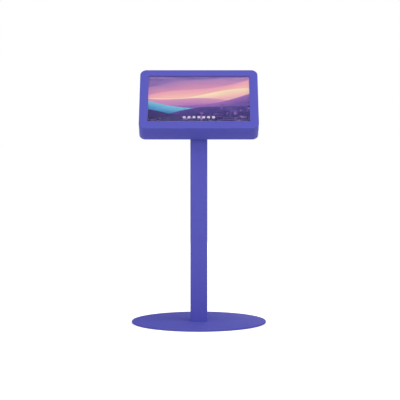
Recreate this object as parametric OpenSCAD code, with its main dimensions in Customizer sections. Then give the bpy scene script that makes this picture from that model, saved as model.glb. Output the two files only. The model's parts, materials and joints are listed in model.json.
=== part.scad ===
// Floor-standing information kiosk: a tilted steel head with a 21.5 inch touch display,
// on a square steel post that is screwed to a round steel base plate.
// Millimetres. The origin is the centre of the footprint, on the floor. +Z is up, and the
// screen faces -Y. Pieces of the head are placed by x, by u, the distance up the face from
// its lower edge, and by d, the depth behind the face.

/* [Base] */
// Diameter of the round base plate
base_d = 636; // [580:4:720]
// Thickness of the base plate
base_t = 6; // [5:0.5:10]
// Chamfer round the rim of the base plate
rim_chamfer = 0.8; // [0.2:0.1:1.6]
// Number of anti-slip pads under the base plate
pad_count = 6; // [4:1:10]
// Diameter of one anti-slip pad
pad_d = 40; // [24:1:56]
// Thickness of one anti-slip pad
pad_t = 2; // [1.5:0.25:4]
// Distance from the rim in to the middle of a pad
pad_inset = 36; // [32:1:60]

/* [Post] */
// Outside width of the square post
post_w = 80; // [76:1:92]
// Wall of the post's tube
post_wall = 3; // [2:0.25:4]
// Outside radius of the post's corners
post_r = 6; // [5:0.5:9]
// Thickness of the tapped block in the foot of the post
foot_t = 15; // [12:1:25]
// Distance between two neighbouring foot screws
foot_pitch = 44; // [36:1:48]
// Diameter of the foot screws
foot_screw_d = 8; // [6:1:8]
// Length of the foot screws
foot_screw_l = 20; // [16:1:20]
// Thickness of the slanted plate on top of the post
plate_t = 8; // [6:0.5:12]
// How far the slanted plate stands out past the post on each side
plate_side = 30; // [26:1:36]
// How far the slanted plate stands out past the post above and below
plate_end = 10; // [6:1:12]

/* [Head] */
// Depth of the head, square to its face
head_d = 85; // [82:1:100]
// Radius of the head's corners
corner_r = 30; // [24:1:36]
// Lean of the face back from upright, in degrees
tilt = 38; // [34:1:44]
// Height of the face's lower edge above the floor
face_height = 919; // [860:1:1000]
// How far the head's rear lower edge lies in front of the post
head_lead = 20; // [14:1:28]
// Thickness of the head's steel sheet
sheet_t = 2; // [1.5:0.25:2.5]
// Width of the return flange inside the head's rear edge
flange_w = 16; // [15:0.5:18]
// Thickness of the back panel
panel_t = 3; // [2.5:0.25:4]
// Gap between the back panel and the head's walls
panel_gap = 0.5; // [0.3:0.1:1]
// Diameter of the screws that hold the back panel
panel_screw_d = 5; // [4:0.5:6]
// Diameter of the bolts between the head and the post
bolt_d = 8; // [6:1:8]
// Thickness of the stiffening plate inside the head
backing_t = 4; // [3:0.5:6]

/* [Screen] */
// Width of the screen opening
screen_w = 480; // [450:1:500]
// Height of the screen opening
screen_h = 275; // [260:1:290]
// Radius of the screen opening's corners
screen_r = 3; // [1:0.5:5]
// Height of the frame below the screen opening
bezel_low = 41.5; // [36:0.5:50]
// Height of the frame above the screen opening
bezel_high = 36.5; // [32:0.5:50]
// Width of the frame on each side of the screen opening
bezel_side = 39; // [36:0.5:60]
// Thickness of the foam gasket in front of the glass
gasket_t = 3; // [2:0.25:4]
// Thickness of the touch glass
glass_t = 3; // [2:0.25:4]
// How far the touch glass runs behind the frame on each side
glass_lap = 10; // [8:0.5:11]
// Thickness of the display panel
lcd_t = 10; // [8:0.5:12]
// Free depth behind the display panel for the chassis's posts
chassis_room = 12.8; // [10:0.2:15]
// Thickness of the chassis's sheet
chassis_t = 1.2; // [1:0.1:1.5]

/* [Service door] */
// Width of the service door
door_w = 420; // [400:2:440]
// Height of the service door
door_h = 122; // [112:1:128]
// Thickness of the service door's sheet
door_t = 2; // [1.5:0.25:2.5]
// Gap round the service door
door_gap = 2; // [1.5:0.25:3]
// Distance from the head's top edge down to the door's top edge
door_drop = 38; // [36:1:44]
// Depth of the door's folded side edges
door_fold = 10; // [6:1:14]
// Radius of the hinge knuckles
knuckle_r = 4; // [3.5:0.25:5]
// Diameter of the hinge pins
hinge_pin_d = 5; // [4:0.25:5.5]
// Width of one hinge
hinge_w = 48; // [40:1:60]
// Distance between the middles of the two hinges
hinge_pitch = 300; // [260:2:340]
// Radius of the lock's turning barrel
barrel_r = 6.5; // [5.5:0.25:7]
// Distance from the door's top edge down to the lock
lock_inset = 22; // [20:1:26]

/* [Power inlet] */
// Height of the power inlet's middle above the floor
inlet_z = 90; // [70:1:140]
// Width of the inlet's body
inlet_w = 27; // [25:0.5:30]
// Height of the inlet's body
inlet_h = 46; // [44:0.5:50]
// Angle between the two positions of the power switch, in degrees
rocker_swing = 20; // [14:1:24]

/* [Electronics] */
// Width of the computer
pc_w = 120; // [112:1:124]
// Height of the computer
pc_h = 110; // [104:1:114]
// Depth of the computer
pc_d = 36; // [34:0.5:38]
// Diameter of the computer's fan
fan_d = 46; // [40:1:50]
// Number of fan blades
blade_count = 7; // [5:1:9]
// Length of the power supply
supply_l = 130; // [120:1:136]
// Width of the power supply
supply_w = 58; // [50:1:60]
// Thickness of the power supply
supply_t = 32; // [28:1:36]
// Number of display setting buttons
key_count = 5; // [5:1:5]
// Diameter of the display setting buttons
key_d = 7; // [5:0.5:8]
// Travel of the display setting buttons
key_travel = 0.8; // [0.5:0.1:1]
// Diameter of the mains lead inside the post
mains_d = 8; // [6:0.5:9]

/* [Hidden] */
$fn = 64;

// Colours
coat = "#5c5cbc";
rubber = "#26262a";
zinc = "#b9bcc2";
steel = "#8f949b";
black_plastic = "#1d1e22";
board_green = "#1f5a3a";
glass_tint = "#20222a";
lead_black = "#18181b";

// Clearances shared by mating pieces: a running fit, a loose fit and the play of a bolt hole
fit = 0.05;
loose = 0.3;
hole_play = 0.5;
// Overrun of a cut past the face that it opens, and a length beyond the whole part
e = 1;
big = 2400;

// Face of the head: the frame round the screen opening
head_w = screen_w + 2 * bezel_side;
head_h = bezel_low + screen_h + bezel_high;

// Base and post
base_top = pad_t + base_t;
post_in = post_w - 2 * post_wall;
post_in_r = post_r - post_wall;
plate_corner_r = 8;
bolt_edge_x = 14;
bolt_edge_u = 20;

// Lower edge of the face, and the slanted layers between the head and the post
face_y = -(post_w / 2 + head_lead + head_d * cos(tilt));
inner_w = head_w - 2 * sheet_t;
inner_h = head_h - 2 * sheet_t;
inner_r = corner_r - sheet_t;
panel_d = head_d - panel_t;
flange_d = panel_d - sheet_t;
plate_d = head_d + plate_t;
plate_w = post_w + 2 * plate_side;
plate_h = post_w / sin(tilt) + 2 * plate_end;
plate_u = post_u(plate_d);
bolt_dx = plate_w - 2 * bolt_edge_x;
bolt_du = plate_h - 2 * bolt_edge_u;
backing_low = max(plate_u - plate_h / 2, sheet_t + flange_w + 2 * loose);
backing_high = plate_u + plate_h / 2;
washer_t = 1.6;
bolt_top = panel_d - backing_t - washer_t;
bolt_head_t = bolt_d * 0.66;

// Grommet where the mains lead enters the head
lead_hole_u = post_u(panel_d + panel_t / 2);
grommet_r = 17;
grommet_lip = 3;
grommet_lip_t = 1.8;
grommet_wall = 4;
plate_hole_r = grommet_r + 10;

// Screws of the back panel and the threaded inserts in the shell's flange
side_x = inner_w / 2 - flange_w / 2;
edge_u = sheet_t + flange_w / 2;
side_screw_u = 60;
edge_screw_x = 150;
insert_r = 4;
insert_l = 10;
panel_screw_l = 12;

// Vents
slot_w = 4;
slot_pitch = 9;
slot_count = 15;
panel_slot_l = 56;
panel_slot_x = 175;
panel_slot_u = 100;
door_slot_l = 50;
door_slot_x = 125;
door_slot_u = 70;

// Service door and hinges
door_top = head_h - door_drop;
door_low = door_top - door_h;
door_mid = (door_top + door_low) / 2;
door_inner_d = head_d - door_t;
door_r = 2;
axis_u = door_low - door_gap / 2;
axis_d = head_d + knuckle_r + 0.5;
leaf_t = 2;
leaf_l = 22;
leaf_free = knuckle_r + 0.5;
leaf_screw_d = 4;
leaf_screw_l = 6;
leaf_screw_u = 14;
leaf_screw_in = 9;
knuckle_w = hinge_w / 3;
pin_head_t = 1.2;

// Lock of the service door, with a cranked cam that swings behind the back panel
lock_u = door_top - lock_inset;
lock_r = barrel_r + 2.5;
lock_rim_t = 2.5;
lock_back = head_d - 20;
nut_flats = 2 * lock_r + 6;
nut_t = 4;
tail_r = 4;
key_slot = [1.6, 7, 8];
cam_t = 2.5;
cam_half = 7;
cam_step_x = 14.5;
cam_reach = 36;
cam_tip_d = panel_d - 1;
cam_screw_r = 1.5;
cam_screw_l = 6;

// Layers of the display
screen_u = bezel_low + screen_h / 2;
gasket_set = 2;
glass_d = sheet_t + gasket_t;
lcd_d = glass_d + glass_t;
rest_d = lcd_d + lcd_t;
floor_d = rest_d + chassis_room;
chassis_d = floor_d + chassis_t;
rim_d = glass_d + 1;
glass_w = screen_w + 2 * glass_lap;
glass_h = screen_h + 2 * glass_lap;
glass_r = 4;
lcd_w = glass_w - 4;
lcd_h = glass_h - 4;
chassis_w = glass_w + 8;
chassis_h = glass_h + 13;
chassis_r = 4;
chassis_post_r = 5;
chassis_post_in = 12;
chassis_low = screen_u - chassis_h / 2;
chassis_high = screen_u + chassis_h / 2;

// Angle brackets between the chassis and the studs of the shell
stud_x = chassis_w / 2 + 10;
stud_step = 100;
stud_r = 2;
stud_l = 6.5;
stud_nut_t = 3.2;
shoulder_d = rim_d + 4.5;
bracket_t = 1.5;
bracket_foot = 17;
bracket_l = 240;
bracket_h = 17;
bracket_screw_d = shoulder_d + 10;
bracket_screw_step = 70;

// Small screws of the chassis and of the computer
small_d = 3;
small_l = 5;
small_head_r = 2.8;
small_head_t = 1.6;
small_hole_r = 1.7;

// Display controller under its cover
board_t = 1.6;
port_x = [-25, 0, 25];
port_w = 14;
port_h = 7;
control_x = -105;
control_u = chassis_low + 55;
board_w = 140;
board_h = 68;
board_d = chassis_d + 6;
cover_d = chassis_d + 18;
cover_t = 1;
cover_w = board_w + 10;
cover_h = board_h + 12;
cover_tab = 10;
control_port_u = control_u + board_h / 2 + 5;
control_port_d = board_d + board_t + port_h / 2;

// Setting buttons of the display
key_x = 140;
key_u = chassis_high - 49;
key_pitch = 17;
key_board_t = 1.2;
key_board = [96, 16];
key_case = [100, 22];
key_case_d = chassis_d + 8;
key_tab_x = 55;
dome_r = 2.5;
dome_d = chassis_d + key_board_t + 1;
key_base_d = dome_d + key_travel + 0.1;
key_proud = 2;

// Computer
pc_x = -115;
pc_u = chassis_high - pc_h / 2 - 28;
pc_wall = 1.5;
pc_r = 5;
pc_front = chassis_d + bracket_t;
pc_back = pc_front + pc_d;
lid_d = pc_back - pc_wall;
pc_board_d = pc_front + 6.5;
pc_board_top = pc_board_d + board_t;
pc_port_h = 8.4;
pc_port_u = pc_u - pc_h / 2 + 2;
pc_port_d = pc_board_top + pc_port_h / 2;
pc_screw_in = 6;
pc_post_r = pc_screw_in - pc_wall / 2;
pc_screw_l = 8;
pc_bracket_h = 60;
pc_bracket_ear = 16;
pc_bracket_lip = 18;
fan_u = -10;
fan_side = fan_d + 8;
fan_front = lid_d - 10;
fan_web = 1.5;
hub_r = 10;
shaft_r = 1.5;
blade_w = 9;
blade_t = 1.2;
blade_pitch = 35;
button_r = 4.5;
button_lip = 1.5;
button_travel = 1.5;
button_in = 15;
button_place = [pc_w / 2 - button_in, pc_h / 2 - button_in];

// Power supply and its strap
supply_x = 140;
supply_u = key_u - key_case[1] / 2 - 15 - supply_w / 2;
supply_r = 6;
supply_mid = chassis_d + supply_t / 2;
supply_start = supply_x - supply_l / 2;
supply_end = supply_x + supply_l / 2;
strap_w = 20;
strap_foot = 12;

// Power inlet: a socket with three blades below a rocker switch
inlet_screw_d = 3;
inlet_screw_l = 7;
inlet_lip = 3;
inlet_ear = 8;
inlet_flange_t = 2.5;
inlet_back = 20;
socket_w = 24;
socket_h = 17;
socket_cut = 4;
socket_floor = 13.5;
socket_z = socket_h / 2 + 4 - inlet_h / 2;
blade = [2, 4];
blade_places = [[-7, -1], [0, 3], [7, -1]];
blade_front = -1.5;
blade_tail = 7;
bay_w = 13.8;
bay_h = 19.6;
bay_floor = 9;
rocker_z = inlet_h / 2 - 2.4 - bay_h / 2;
rocker_w = bay_w - 0.6;
rocker_half = bay_h / 2 - 1.2;
pivot_y = -1;
pivot_r = 1.5;
boot_w = 24;
boot_h = 20;
boot_l = 18;

// Leads. Their points are chosen by hand, and only their ends follow what they join
plug_w = 12;
plug_l = 20;
plug_t = 6.5;
mains_plug_l = 20;
mains_plug_w = 20;
mains_plug_t = 18;
supply_plug_l = 12;
supply_plug_w = 28;
supply_plug_t = 12;
keypad_plug_l = 16;
keypad_plug_w = 8;
keypad_plug_t = 3.6;
keypad_plug_x = key_x - key_case[0] / 2 - keypad_plug_l;
keypad_mid = chassis_d + 6.2;
mains_y = post_in / 2 - 7;
clip_w = 2 * mains_d;
clip_h = 10;
clip_wall = 2;
clip_heights = [380, 540];
mains_route = [
  [0, post_w / 2 - inlet_back - boot_l / 2, inlet_z + socket_z + boot_h / 2],
  [0, post_w / 2 - inlet_back - boot_l / 2, 125],
  [0, 17, 165],
  [0, mains_y, 230],
  [0, mains_y, 320],
  [0, mains_y, 440],
  [0, mains_y, 560],
  [0, mains_y, 680],
  [0, 24, 780],
  [0, 6, 860],
  [0, 0, 920],
  head_point(0, 114, 72),
  head_point(6, 142, 60),
  head_point(18, 174, 54),
  head_point(32, 208, 50),
  head_point(supply_start - mains_plug_l - 10, supply_u, supply_mid),
  head_point(supply_start - mains_plug_l, supply_u, supply_mid)
];
signal_d = 5;
keypad_lead_d = 3;
keypad_route = [
  head_point(keypad_plug_x, key_u, keypad_mid),
  head_point(keypad_plug_x - 12, key_u, keypad_mid),
  head_point(46, 280, chassis_d + 5),
  head_point(24, 262, chassis_d + 3),
  head_point(-2, 214, chassis_d + 3),
  head_point(-14, 160, chassis_d + 3),
  head_point(-16, 106, chassis_d + 4),
  head_point(control_x + cover_w / 2 + 8, control_u + 4, chassis_d + 7),
  head_point(control_x + cover_w / 2, control_u + 4, chassis_d + 7)
];
dc_d = 4;
dc_pc_route = [
  head_point(supply_end + supply_plug_l, supply_u - 8, supply_mid),
  head_point(supply_end + supply_plug_l + 8, supply_u - 8, supply_mid),
  head_point(supply_end + 20, 196, 45),
  head_point(200, 180, 42),
  head_point(120, 176, 42),
  head_point(40, 176, 42),
  head_point(-30, 172, 42),
  head_point(-66, 163, 43),
  head_point(pc_x + port_x[2], pc_port_u - plug_l - 8, pc_port_d),
  head_point(pc_x + port_x[2], pc_port_u - plug_l, pc_port_d)
];
dc_control_route = [
  head_point(supply_end + supply_plug_l, supply_u + 8, supply_mid),
  head_point(supply_end + supply_plug_l + 8, supply_u + 8, supply_mid),
  head_point(supply_end + 38, 212, 46),
  head_point(supply_end + 30, 182, 42),
  head_point(200, 165, 41),
  head_point(120, 162, 41),
  head_point(20, 162, 41),
  head_point(-40, 156, 41),
  head_point(-64, 152, 42),
  head_point(control_x + port_x[2], control_port_u + plug_l + 8, control_port_d),
  head_point(control_x + port_x[2], control_port_u + plug_l, control_port_d)
];
lead_aside = [0.05, -0.79, 0.61];

// Distance up the face at which the post's axis meets depth d
function post_u(d) = (-face_y - d * cos(tilt)) / sin(tilt);

// Point of the head in the part's own frame
function head_point(x, u, d) = [
  x,
  face_y + u * sin(tilt) + d * cos(tilt),
  face_height + u * cos(tilt) - d * sin(tilt)
];

// Smooth route through chosen points, with the given steps on each stretch
function picked(p, i) = p[max(0, min(len(p) - 1, i))];
function before(p, i) = i > 0 ? p[i - 1] : 2 * p[0] - p[1];
function after(p, i) = i + 2 < len(p) ? p[i + 2] : 2 * p[i + 1] - p[i];
function curve(a, b, c, d, t) = b
  + 0.5 * (c - a) * t
  + 0.5 * (2 * a - 5 * b + 4 * c - d) * t * t
  + 0.5 * (3 * b - a - 3 * c + d) * t * t * t;
function route(p, steps) = [
  for (i = [0 : len(p) - 2], k = [0 : steps - 1])
    curve(before(p, i), p[i], p[i + 1], after(p, i), k / steps),
  p[len(p) - 1]
];
function unit(v) = v / norm(v);
function heading(p, i) = unit(picked(p, i + 1) - picked(p, i - 1));
function ring(middle, t, r, sides, aside) =
  let (s = unit(cross(t, aside)), n = cross(t, s))
  [for (k = [0 : sides - 1]) middle + r * (cos(360 * k / sides) * s + sin(360 * k / sides) * n)];

// Lead along a route, square to its first and last stretch at its ends. aside is a direction
// that the route never takes
module lead(points, d, aside, sides = 8, steps = 4) {
  p = route(points, steps);
  last = len(p) - 1;
  end = len(points) - 1;
  headings = [
    unit(points[1] - points[0]),
    for (i = [1 : last - 1]) heading(p, i),
    unit(points[end] - points[end - 1])
  ];
  corners = [for (i = [0 : last]) each ring(p[i], headings[i], d / 2, sides, aside)];
  walls = [
    for (i = [0 : last - 1], k = [0 : sides - 1])
      let (a = i * sides + k, b = i * sides + (k + 1) % sides)
      each [[a, a + sides, b], [b, a + sides, b + sides]]
  ];
  start = [for (k = [1 : sides - 2]) [0, k, k + 1]];
  finish = [for (k = [1 : sides - 2]) [last * sides, last * sides + k + 1, last * sides + k]];
  polyhedron(points = corners, faces = concat(walls, start, finish));
}

// Places its children by x, u and d
module in_head() {
  translate([0, face_y, face_height])
    rotate([90 - tilt, 0, 0])
      mirror([0, 0, 1])
        children();
}

// Places its children about a point of the head
module at_face(x, u) {
  in_head()
    translate([x, u, 0])
      children();
}

// Copies its children to the four corners of a rectangle
module at_corners(dx, dy) {
  for (sx = [-1, 1], sy = [-1, 1])
    translate([sx * dx / 2, sy * dy / 2, 0])
      children();
}

// Copies its children to both sides of the middle, at a distance dx
module at_sides(dx) {
  for (sx = [-1, 1])
    translate([sx * dx, 0, 0])
      children();
}

// Rectangle about the origin with round corners
module rounded(w, h, r) {
  square([w - 2 * r, h], center = true);
  square([w, h - 2 * r], center = true);
  at_corners(w - 2 * r, h - 2 * r)
    circle(r);
}

// Plate with round corners from depth d0 to depth d1, about the origin
module slab(w, h, r, d0, d1) {
  translate([0, 0, d0])
    linear_extrude(d1 - d0)
      rounded(w, h, r);
}

// Block from depth d0 to depth d1, about the origin
module block(w, h, d0, d1) {
  translate([-w / 2, -h / 2, d0])
    cube([w, h, d1 - d0]);
}

// Round bar from depth d0 to depth d1
module rod(r, d0, d1) {
  translate([0, 0, d0])
    cylinder(r = r, h = d1 - d0);
}

// Hexagon bar, measured across its flats, from depth d0 to depth d1
module hex_bar(flats, d0, d1) {
  translate([0, 0, d0])
    cylinder(r = flats / sqrt(3), h = d1 - d0, $fn = 6);
}

// Extrudes an outline drawn in x and z from y0 to y1
module upright(y0, y1) {
  translate([0, y1, 0])
    rotate([90, 0, 0])
      linear_extrude(y1 - y0)
        children();
}

// Screw with a low round head, whose head stands outwards from depth d0
module pan_screw(d, length, head_r, head_t, d0) {
  difference() {
    union() {
      rod(d / 2 - fit, d0 - length, d0);
      rod(head_r, d0, d0 + head_t);
    }
    hex_bar(d * 0.6, d0 + head_t * 0.4, d0 + head_t + e);
  }
}

module small_screw(d0, length = small_l) {
  pan_screw(small_d, length, small_head_r, small_head_t, d0);
}

// Row of upright slots for air, about the origin
module slots(count, pitch, w, h, d0, d1) {
  for (i = [0 : count - 1])
    translate([(i - (count - 1) / 2) * pitch, 0, 0])
      slab(w, h, w / 2 - 0.01, d0, d1);
}

// Base

module base_plate() {
  r = base_d / 2;
  color(coat)
    difference() {
      rotate_extrude($fn = 180)
        polygon([
          [0, pad_t], [r - rim_chamfer, pad_t], [r, pad_t + rim_chamfer],
          [r, base_top - rim_chamfer], [r - rim_chamfer, base_top], [0, base_top]
        ]);
      at_corners(foot_pitch, foot_pitch) {
        rod(foot_screw_d / 2 + loose, pad_t - e, base_top + e);
        translate([0, 0, pad_t - 0.01])
          cylinder(r1 = foot_screw_d + loose, r2 = foot_screw_d / 2 + loose, h = foot_screw_d / 2);
      }
    }
}

module rubber_pads() {
  color(rubber)
    for (i = [0 : pad_count - 1])
      rotate([0, 0, (i + 0.5) * 360 / pad_count])
        translate([base_d / 2 - pad_inset, 0, 0])
          cylinder(r = pad_d / 2, h = pad_t);
}

module base_screws() {
  head_z = pad_t + 0.2;
  color(zinc)
    at_corners(foot_pitch, foot_pitch)
      difference() {
        union() {
          translate([0, 0, head_z])
            cylinder(r1 = foot_screw_d, r2 = foot_screw_d / 2 - fit, h = foot_screw_d / 2);
          rod(foot_screw_d / 2 - fit, head_z, head_z + foot_screw_l);
        }
        hex_bar(foot_screw_d * 0.6, head_z - e, head_z + foot_screw_d * 0.4);
      }
}

// Post

module post_tube() {
  color(coat)
    difference() {
      translate([0, 0, base_top])
        linear_extrude(face_height + head_h - base_top)
          difference() {
            rounded(post_w, post_w, post_r);
            rounded(post_in, post_in, post_in_r);
          }
      in_head()
        translate([-big / 2, -big / 2, plate_d - big])
          cube(big);
      on_post_back() {
        upright(-2 * post_wall, e)
          square([inlet_w + 2 * loose, inlet_h + 2 * loose], center = true);
        inlet_screw_places()
          upright(-2 * post_wall, e)
            circle(inlet_screw_d / 2);
      }
    }
}

module post_foot() {
  side = post_in - 2 * loose;
  color(steel)
    difference() {
      slab(side, side, post_in_r, base_top, base_top + foot_t);
      at_corners(foot_pitch, foot_pitch)
        rod(foot_screw_d / 2, base_top - e, base_top + foot_t + e);
    }
}

module bolt_places() {
  translate([0, plate_u, 0])
    at_corners(bolt_dx, bolt_du)
      children();
}

module post_top_plate() {
  color(coat)
    in_head()
      difference() {
        translate([0, plate_u, 0])
          slab(plate_w, plate_h, plate_corner_r, head_d, plate_d);
        bolt_places()
          rod(bolt_d / 2, head_d - e, plate_d + e);
        translate([0, lead_hole_u, 0])
          rod(plate_hole_r, head_d - e, plate_d + e);
      }
}

// Power inlet, in a cut-out of the post's rear wall

module on_post_back() {
  translate([0, post_w / 2, inlet_z])
    children();
}

module inlet_screw_places() {
  for (side = [-1, 1])
    translate([0, 0, side * (inlet_h + inlet_ear) / 2])
      children();
}

module blade_outlines() {
  for (place = blade_places)
    translate([place[0], socket_z + place[1]])
      square(blade, center = true);
}

module socket_outline() {
  x = socket_w / 2;
  y = socket_h / 2;
  translate([0, socket_z])
    polygon([
      [-x, -y], [x, -y], [x, y - socket_cut],
      [x - socket_cut, y], [socket_cut - x, y], [-x, y - socket_cut]
    ]);
}

module power_inlet() {
  front = inlet_flange_t + e;
  color(black_plastic)
    on_post_back()
      difference() {
        union() {
          upright(0, inlet_flange_t)
            rounded(inlet_w + 2 * inlet_lip, inlet_h + 2 * inlet_ear, inlet_lip);
          upright(-inlet_back, e / 2)
            square([inlet_w, inlet_h], center = true);
        }
        upright(-socket_floor, front)
          socket_outline();
        upright(-inlet_back - e, 0)
          blade_outlines();
        upright(-bay_floor, front)
          translate([0, rocker_z])
            square([bay_w, bay_h], center = true);
        translate([0, pivot_y, rocker_z])
          rotate([0, 90, 0])
            cylinder(r = pivot_r + fit, h = bay_w + 4, center = true);
        inlet_screw_places()
          upright(-e, front)
            circle(inlet_screw_d / 2 + 0.2);
      }
}

module inlet_pins() {
  color(zinc)
    on_post_back()
      upright(-inlet_back - blade_tail, blade_front)
        blade_outlines();
}

module inlet_screws() {
  head_end = inlet_flange_t + small_head_t;
  color(zinc)
    on_post_back()
      inlet_screw_places()
        difference() {
          union() {
            upright(inlet_flange_t - inlet_screw_l, inlet_flange_t)
              circle(inlet_screw_d / 2 - fit);
            upright(inlet_flange_t, head_end)
              circle(small_head_r);
          }
          upright(inlet_flange_t + small_head_t * 0.4, head_end + e)
            circle(inlet_screw_d * 0.35, $fn = 6);
        }
}

module inlet_boot() {
  color(rubber)
    on_post_back()
      difference() {
        upright(-inlet_back - boot_l, -inlet_back)
          translate([0, socket_z])
            square([boot_w, boot_h], center = true);
        upright(-inlet_back - blade_tail, -inlet_back + e)
          blade_outlines();
      }
}

// Rocker of the inlet, modelled with its upper end pressed in
module power_switch() {
  color("#30313a")
    on_post_back()
      translate([0, pivot_y, rocker_z])
        rotate([rocker_swing / 2, 0, 0]) {
          translate([-rocker_w / 2, 0, 0])
            rotate([90, 0, 90])
              linear_extrude(rocker_w)
                polygon([
                  [4.5, -rocker_half], [2.8, 0], [4.5, rocker_half],
                  [-3, rocker_half - 1.1], [-5, 0], [-3, 1.1 - rocker_half]
                ]);
          rotate([0, 90, 0])
            cylinder(r = pivot_r, h = bay_w + 3, center = true);
        }
}

// Mains lead, held all the way from the inlet to the power supply

module mains_lead() {
  color(lead_black)
    lead(mains_route, mains_d, [0.1, -0.62, 0.78]);
}

module lead_clips() {
  near_y = mains_y - mains_d / 2 - clip_wall;
  color(black_plastic)
    for (z = clip_heights)
      difference() {
        translate([-clip_w / 2, near_y, z - clip_h / 2])
          cube([clip_w, post_in / 2 - near_y, clip_h]);
        translate([0, mains_y, z - clip_h / 2 - e])
          cylinder(r = mains_d / 2 + loose, h = clip_h + 2 * e);
      }
}

module lead_grommet() {
  bore = grommet_r - grommet_wall;
  lip = grommet_r + grommet_lip;
  neck = grommet_r - 0.1;
  color(rubber)
    at_face(0, lead_hole_u)
      rotate_extrude()
        polygon([
          [bore, panel_d - grommet_lip_t], [lip, panel_d - grommet_lip_t], [lip, panel_d], [neck, panel_d],
          [neck, head_d], [lip, head_d], [lip, head_d + grommet_lip_t], [bore, head_d + grommet_lip_t]
        ]);
}

// Head: shell, back panel and what joins them to the post

module panel_screw_places() {
  for (sx = [-1, 1], su = [-1, 1]) {
    translate([sx * side_x, head_h / 2 + su * (head_h / 2 - side_screw_u), 0])
      children();
    translate([sx * edge_screw_x, head_h / 2 + su * (head_h / 2 - edge_u), 0])
      children();
  }
}

module stud_places(side) {
  for (su = [-1, 0, 1])
    translate([side * stud_x, su * stud_step, 0])
      children();
}

module head_walls() {
  difference() {
    translate([0, head_h / 2, 0])
      slab(head_w, head_h, corner_r, 0, head_d);
    translate([0, head_h / 2, 0])
      slab(inner_w, inner_h, inner_r, sheet_t, head_d + e);
    translate([0, screen_u, 0])
      slab(screen_w, screen_h, screen_r, -e, sheet_t + e);
  }
}

module head_flange() {
  difference() {
    translate([0, head_h / 2, 0])
      slab(inner_w + sheet_t, inner_h + sheet_t, inner_r + sheet_t / 2, flange_d, panel_d);
    translate([0, head_h / 2, 0])
      slab(inner_w - 2 * flange_w, inner_h - 2 * flange_w, inner_r - flange_w, flange_d - e, panel_d + e);
  }
}

module head_shell() {
  color(coat)
    in_head() {
      difference() {
        union() {
          head_walls();
          head_flange();
          panel_screw_places()
            rod(insert_r, flange_d - insert_l, flange_d + sheet_t / 2);
        }
        panel_screw_places()
          rod(panel_screw_d / 2, flange_d - insert_l - e, panel_d + e);
      }
      translate([0, screen_u, 0])
        for (side = [-1, 1])
          stud_places(side) {
            rod(insert_r, sheet_t - 0.2, shoulder_d);
            rod(stud_r, shoulder_d - 0.2, shoulder_d + stud_l);
          }
    }
}

module back_panel() {
  front = panel_d - e;
  back = head_d + e;
  color(coat)
    in_head()
      difference() {
        translate([0, head_h / 2, 0])
          slab(inner_w - 2 * panel_gap, inner_h - 2 * panel_gap, inner_r - panel_gap, panel_d, head_d);
        translate([0, door_mid, 0])
          slab(door_w + 2 * door_gap, door_h + 2 * door_gap, door_r + 1, front, back);
        panel_screw_places()
          rod(panel_screw_d / 2 + loose, front, back);
        bolt_places()
          rod(bolt_d / 2 + hole_play, front, back);
        translate([0, lead_hole_u, 0])
          rod(grommet_r, front, back);
        hinge_places()
          leaf_screw_places(-1)
            rod(leaf_screw_d / 2, front, back);
        translate([0, panel_slot_u, 0])
          at_sides(panel_slot_x)
            slots(slot_count, slot_pitch, slot_w, panel_slot_l, front, back);
      }
}

module panel_screws() {
  color(zinc)
    in_head()
      panel_screw_places()
        pan_screw(panel_screw_d, panel_screw_l, panel_screw_d * 0.95, panel_screw_d * 0.5, head_d);
}

module backing_plate() {
  front = panel_d - backing_t;
  color(steel)
    in_head()
      difference() {
        translate([0, (backing_low + backing_high) / 2, 0])
          slab(plate_w, backing_high - backing_low, plate_corner_r, front, panel_d);
        bolt_places()
          rod(bolt_d / 2 + hole_play, front - e, panel_d + e);
        translate([0, lead_hole_u, 0])
          rod(grommet_r + grommet_lip + 1, front - e, panel_d + e);
      }
}

module head_bolts() {
  color(zinc)
    in_head()
      bolt_places() {
        hex_bar(bolt_d * 1.625, bolt_top - bolt_head_t, bolt_top);
        rod(bolt_d / 2 - fit, bolt_top - 0.2, plate_d);
      }
}

module head_washers() {
  color(zinc)
    in_head()
      bolt_places()
        difference() {
          rod(bolt_d, bolt_top, bolt_top + washer_t);
          rod(bolt_d / 2 + loose, bolt_top - e, bolt_top + washer_t + e);
        }
}

// Service door with its hinges and its lock

module service_door() {
  color(coat)
    in_head()
      difference() {
        union() {
          translate([0, door_mid, 0]) {
            slab(door_w, door_h, door_r, door_inner_d, head_d);
            at_sides((door_w - door_t) / 2)
              block(door_t, door_h - 4 * door_r, door_inner_d - door_fold, door_inner_d + door_t / 2);
          }
        }
        translate([0, lock_u, 0])
          rod(lock_r + 2 * fit, door_inner_d - e, head_d + e);
        hinge_places()
          leaf_screw_places(1)
            rod(leaf_screw_d / 2, door_inner_d - e, head_d + e);
        translate([0, door_low + door_slot_u, 0])
          at_sides(door_slot_x)
            slots(slot_count, slot_pitch, slot_w, door_slot_l, door_inner_d - e, head_d + e);
      }
}

module hinge_places() {
  translate([0, axis_u, 0])
    at_sides(hinge_pitch / 2)
      children();
}

// Screws of one hinge leaf. side is 1 for the door's leaf and -1 for the panel's
module leaf_screw_places(side) {
  translate([0, side * leaf_screw_u, 0])
    at_sides(hinge_w / 2 - leaf_screw_in)
      children();
}

// Stretch of a hinge leaf from x0 to x1 with its own knuckle
module knuckle(x0, x1, side) {
  translate([x0, 0, 0])
    rotate([90, 0, 90])
      linear_extrude(x1 - x0)
        difference() {
          union() {
            translate([0, axis_d])
              circle(knuckle_r);
            translate([side > 0 ? 0 : -leaf_l / 2, head_d])
              square([leaf_l / 2, leaf_t]);
          }
          translate([0, axis_d])
            circle(hinge_pin_d / 2 + fit);
        }
}

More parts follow.
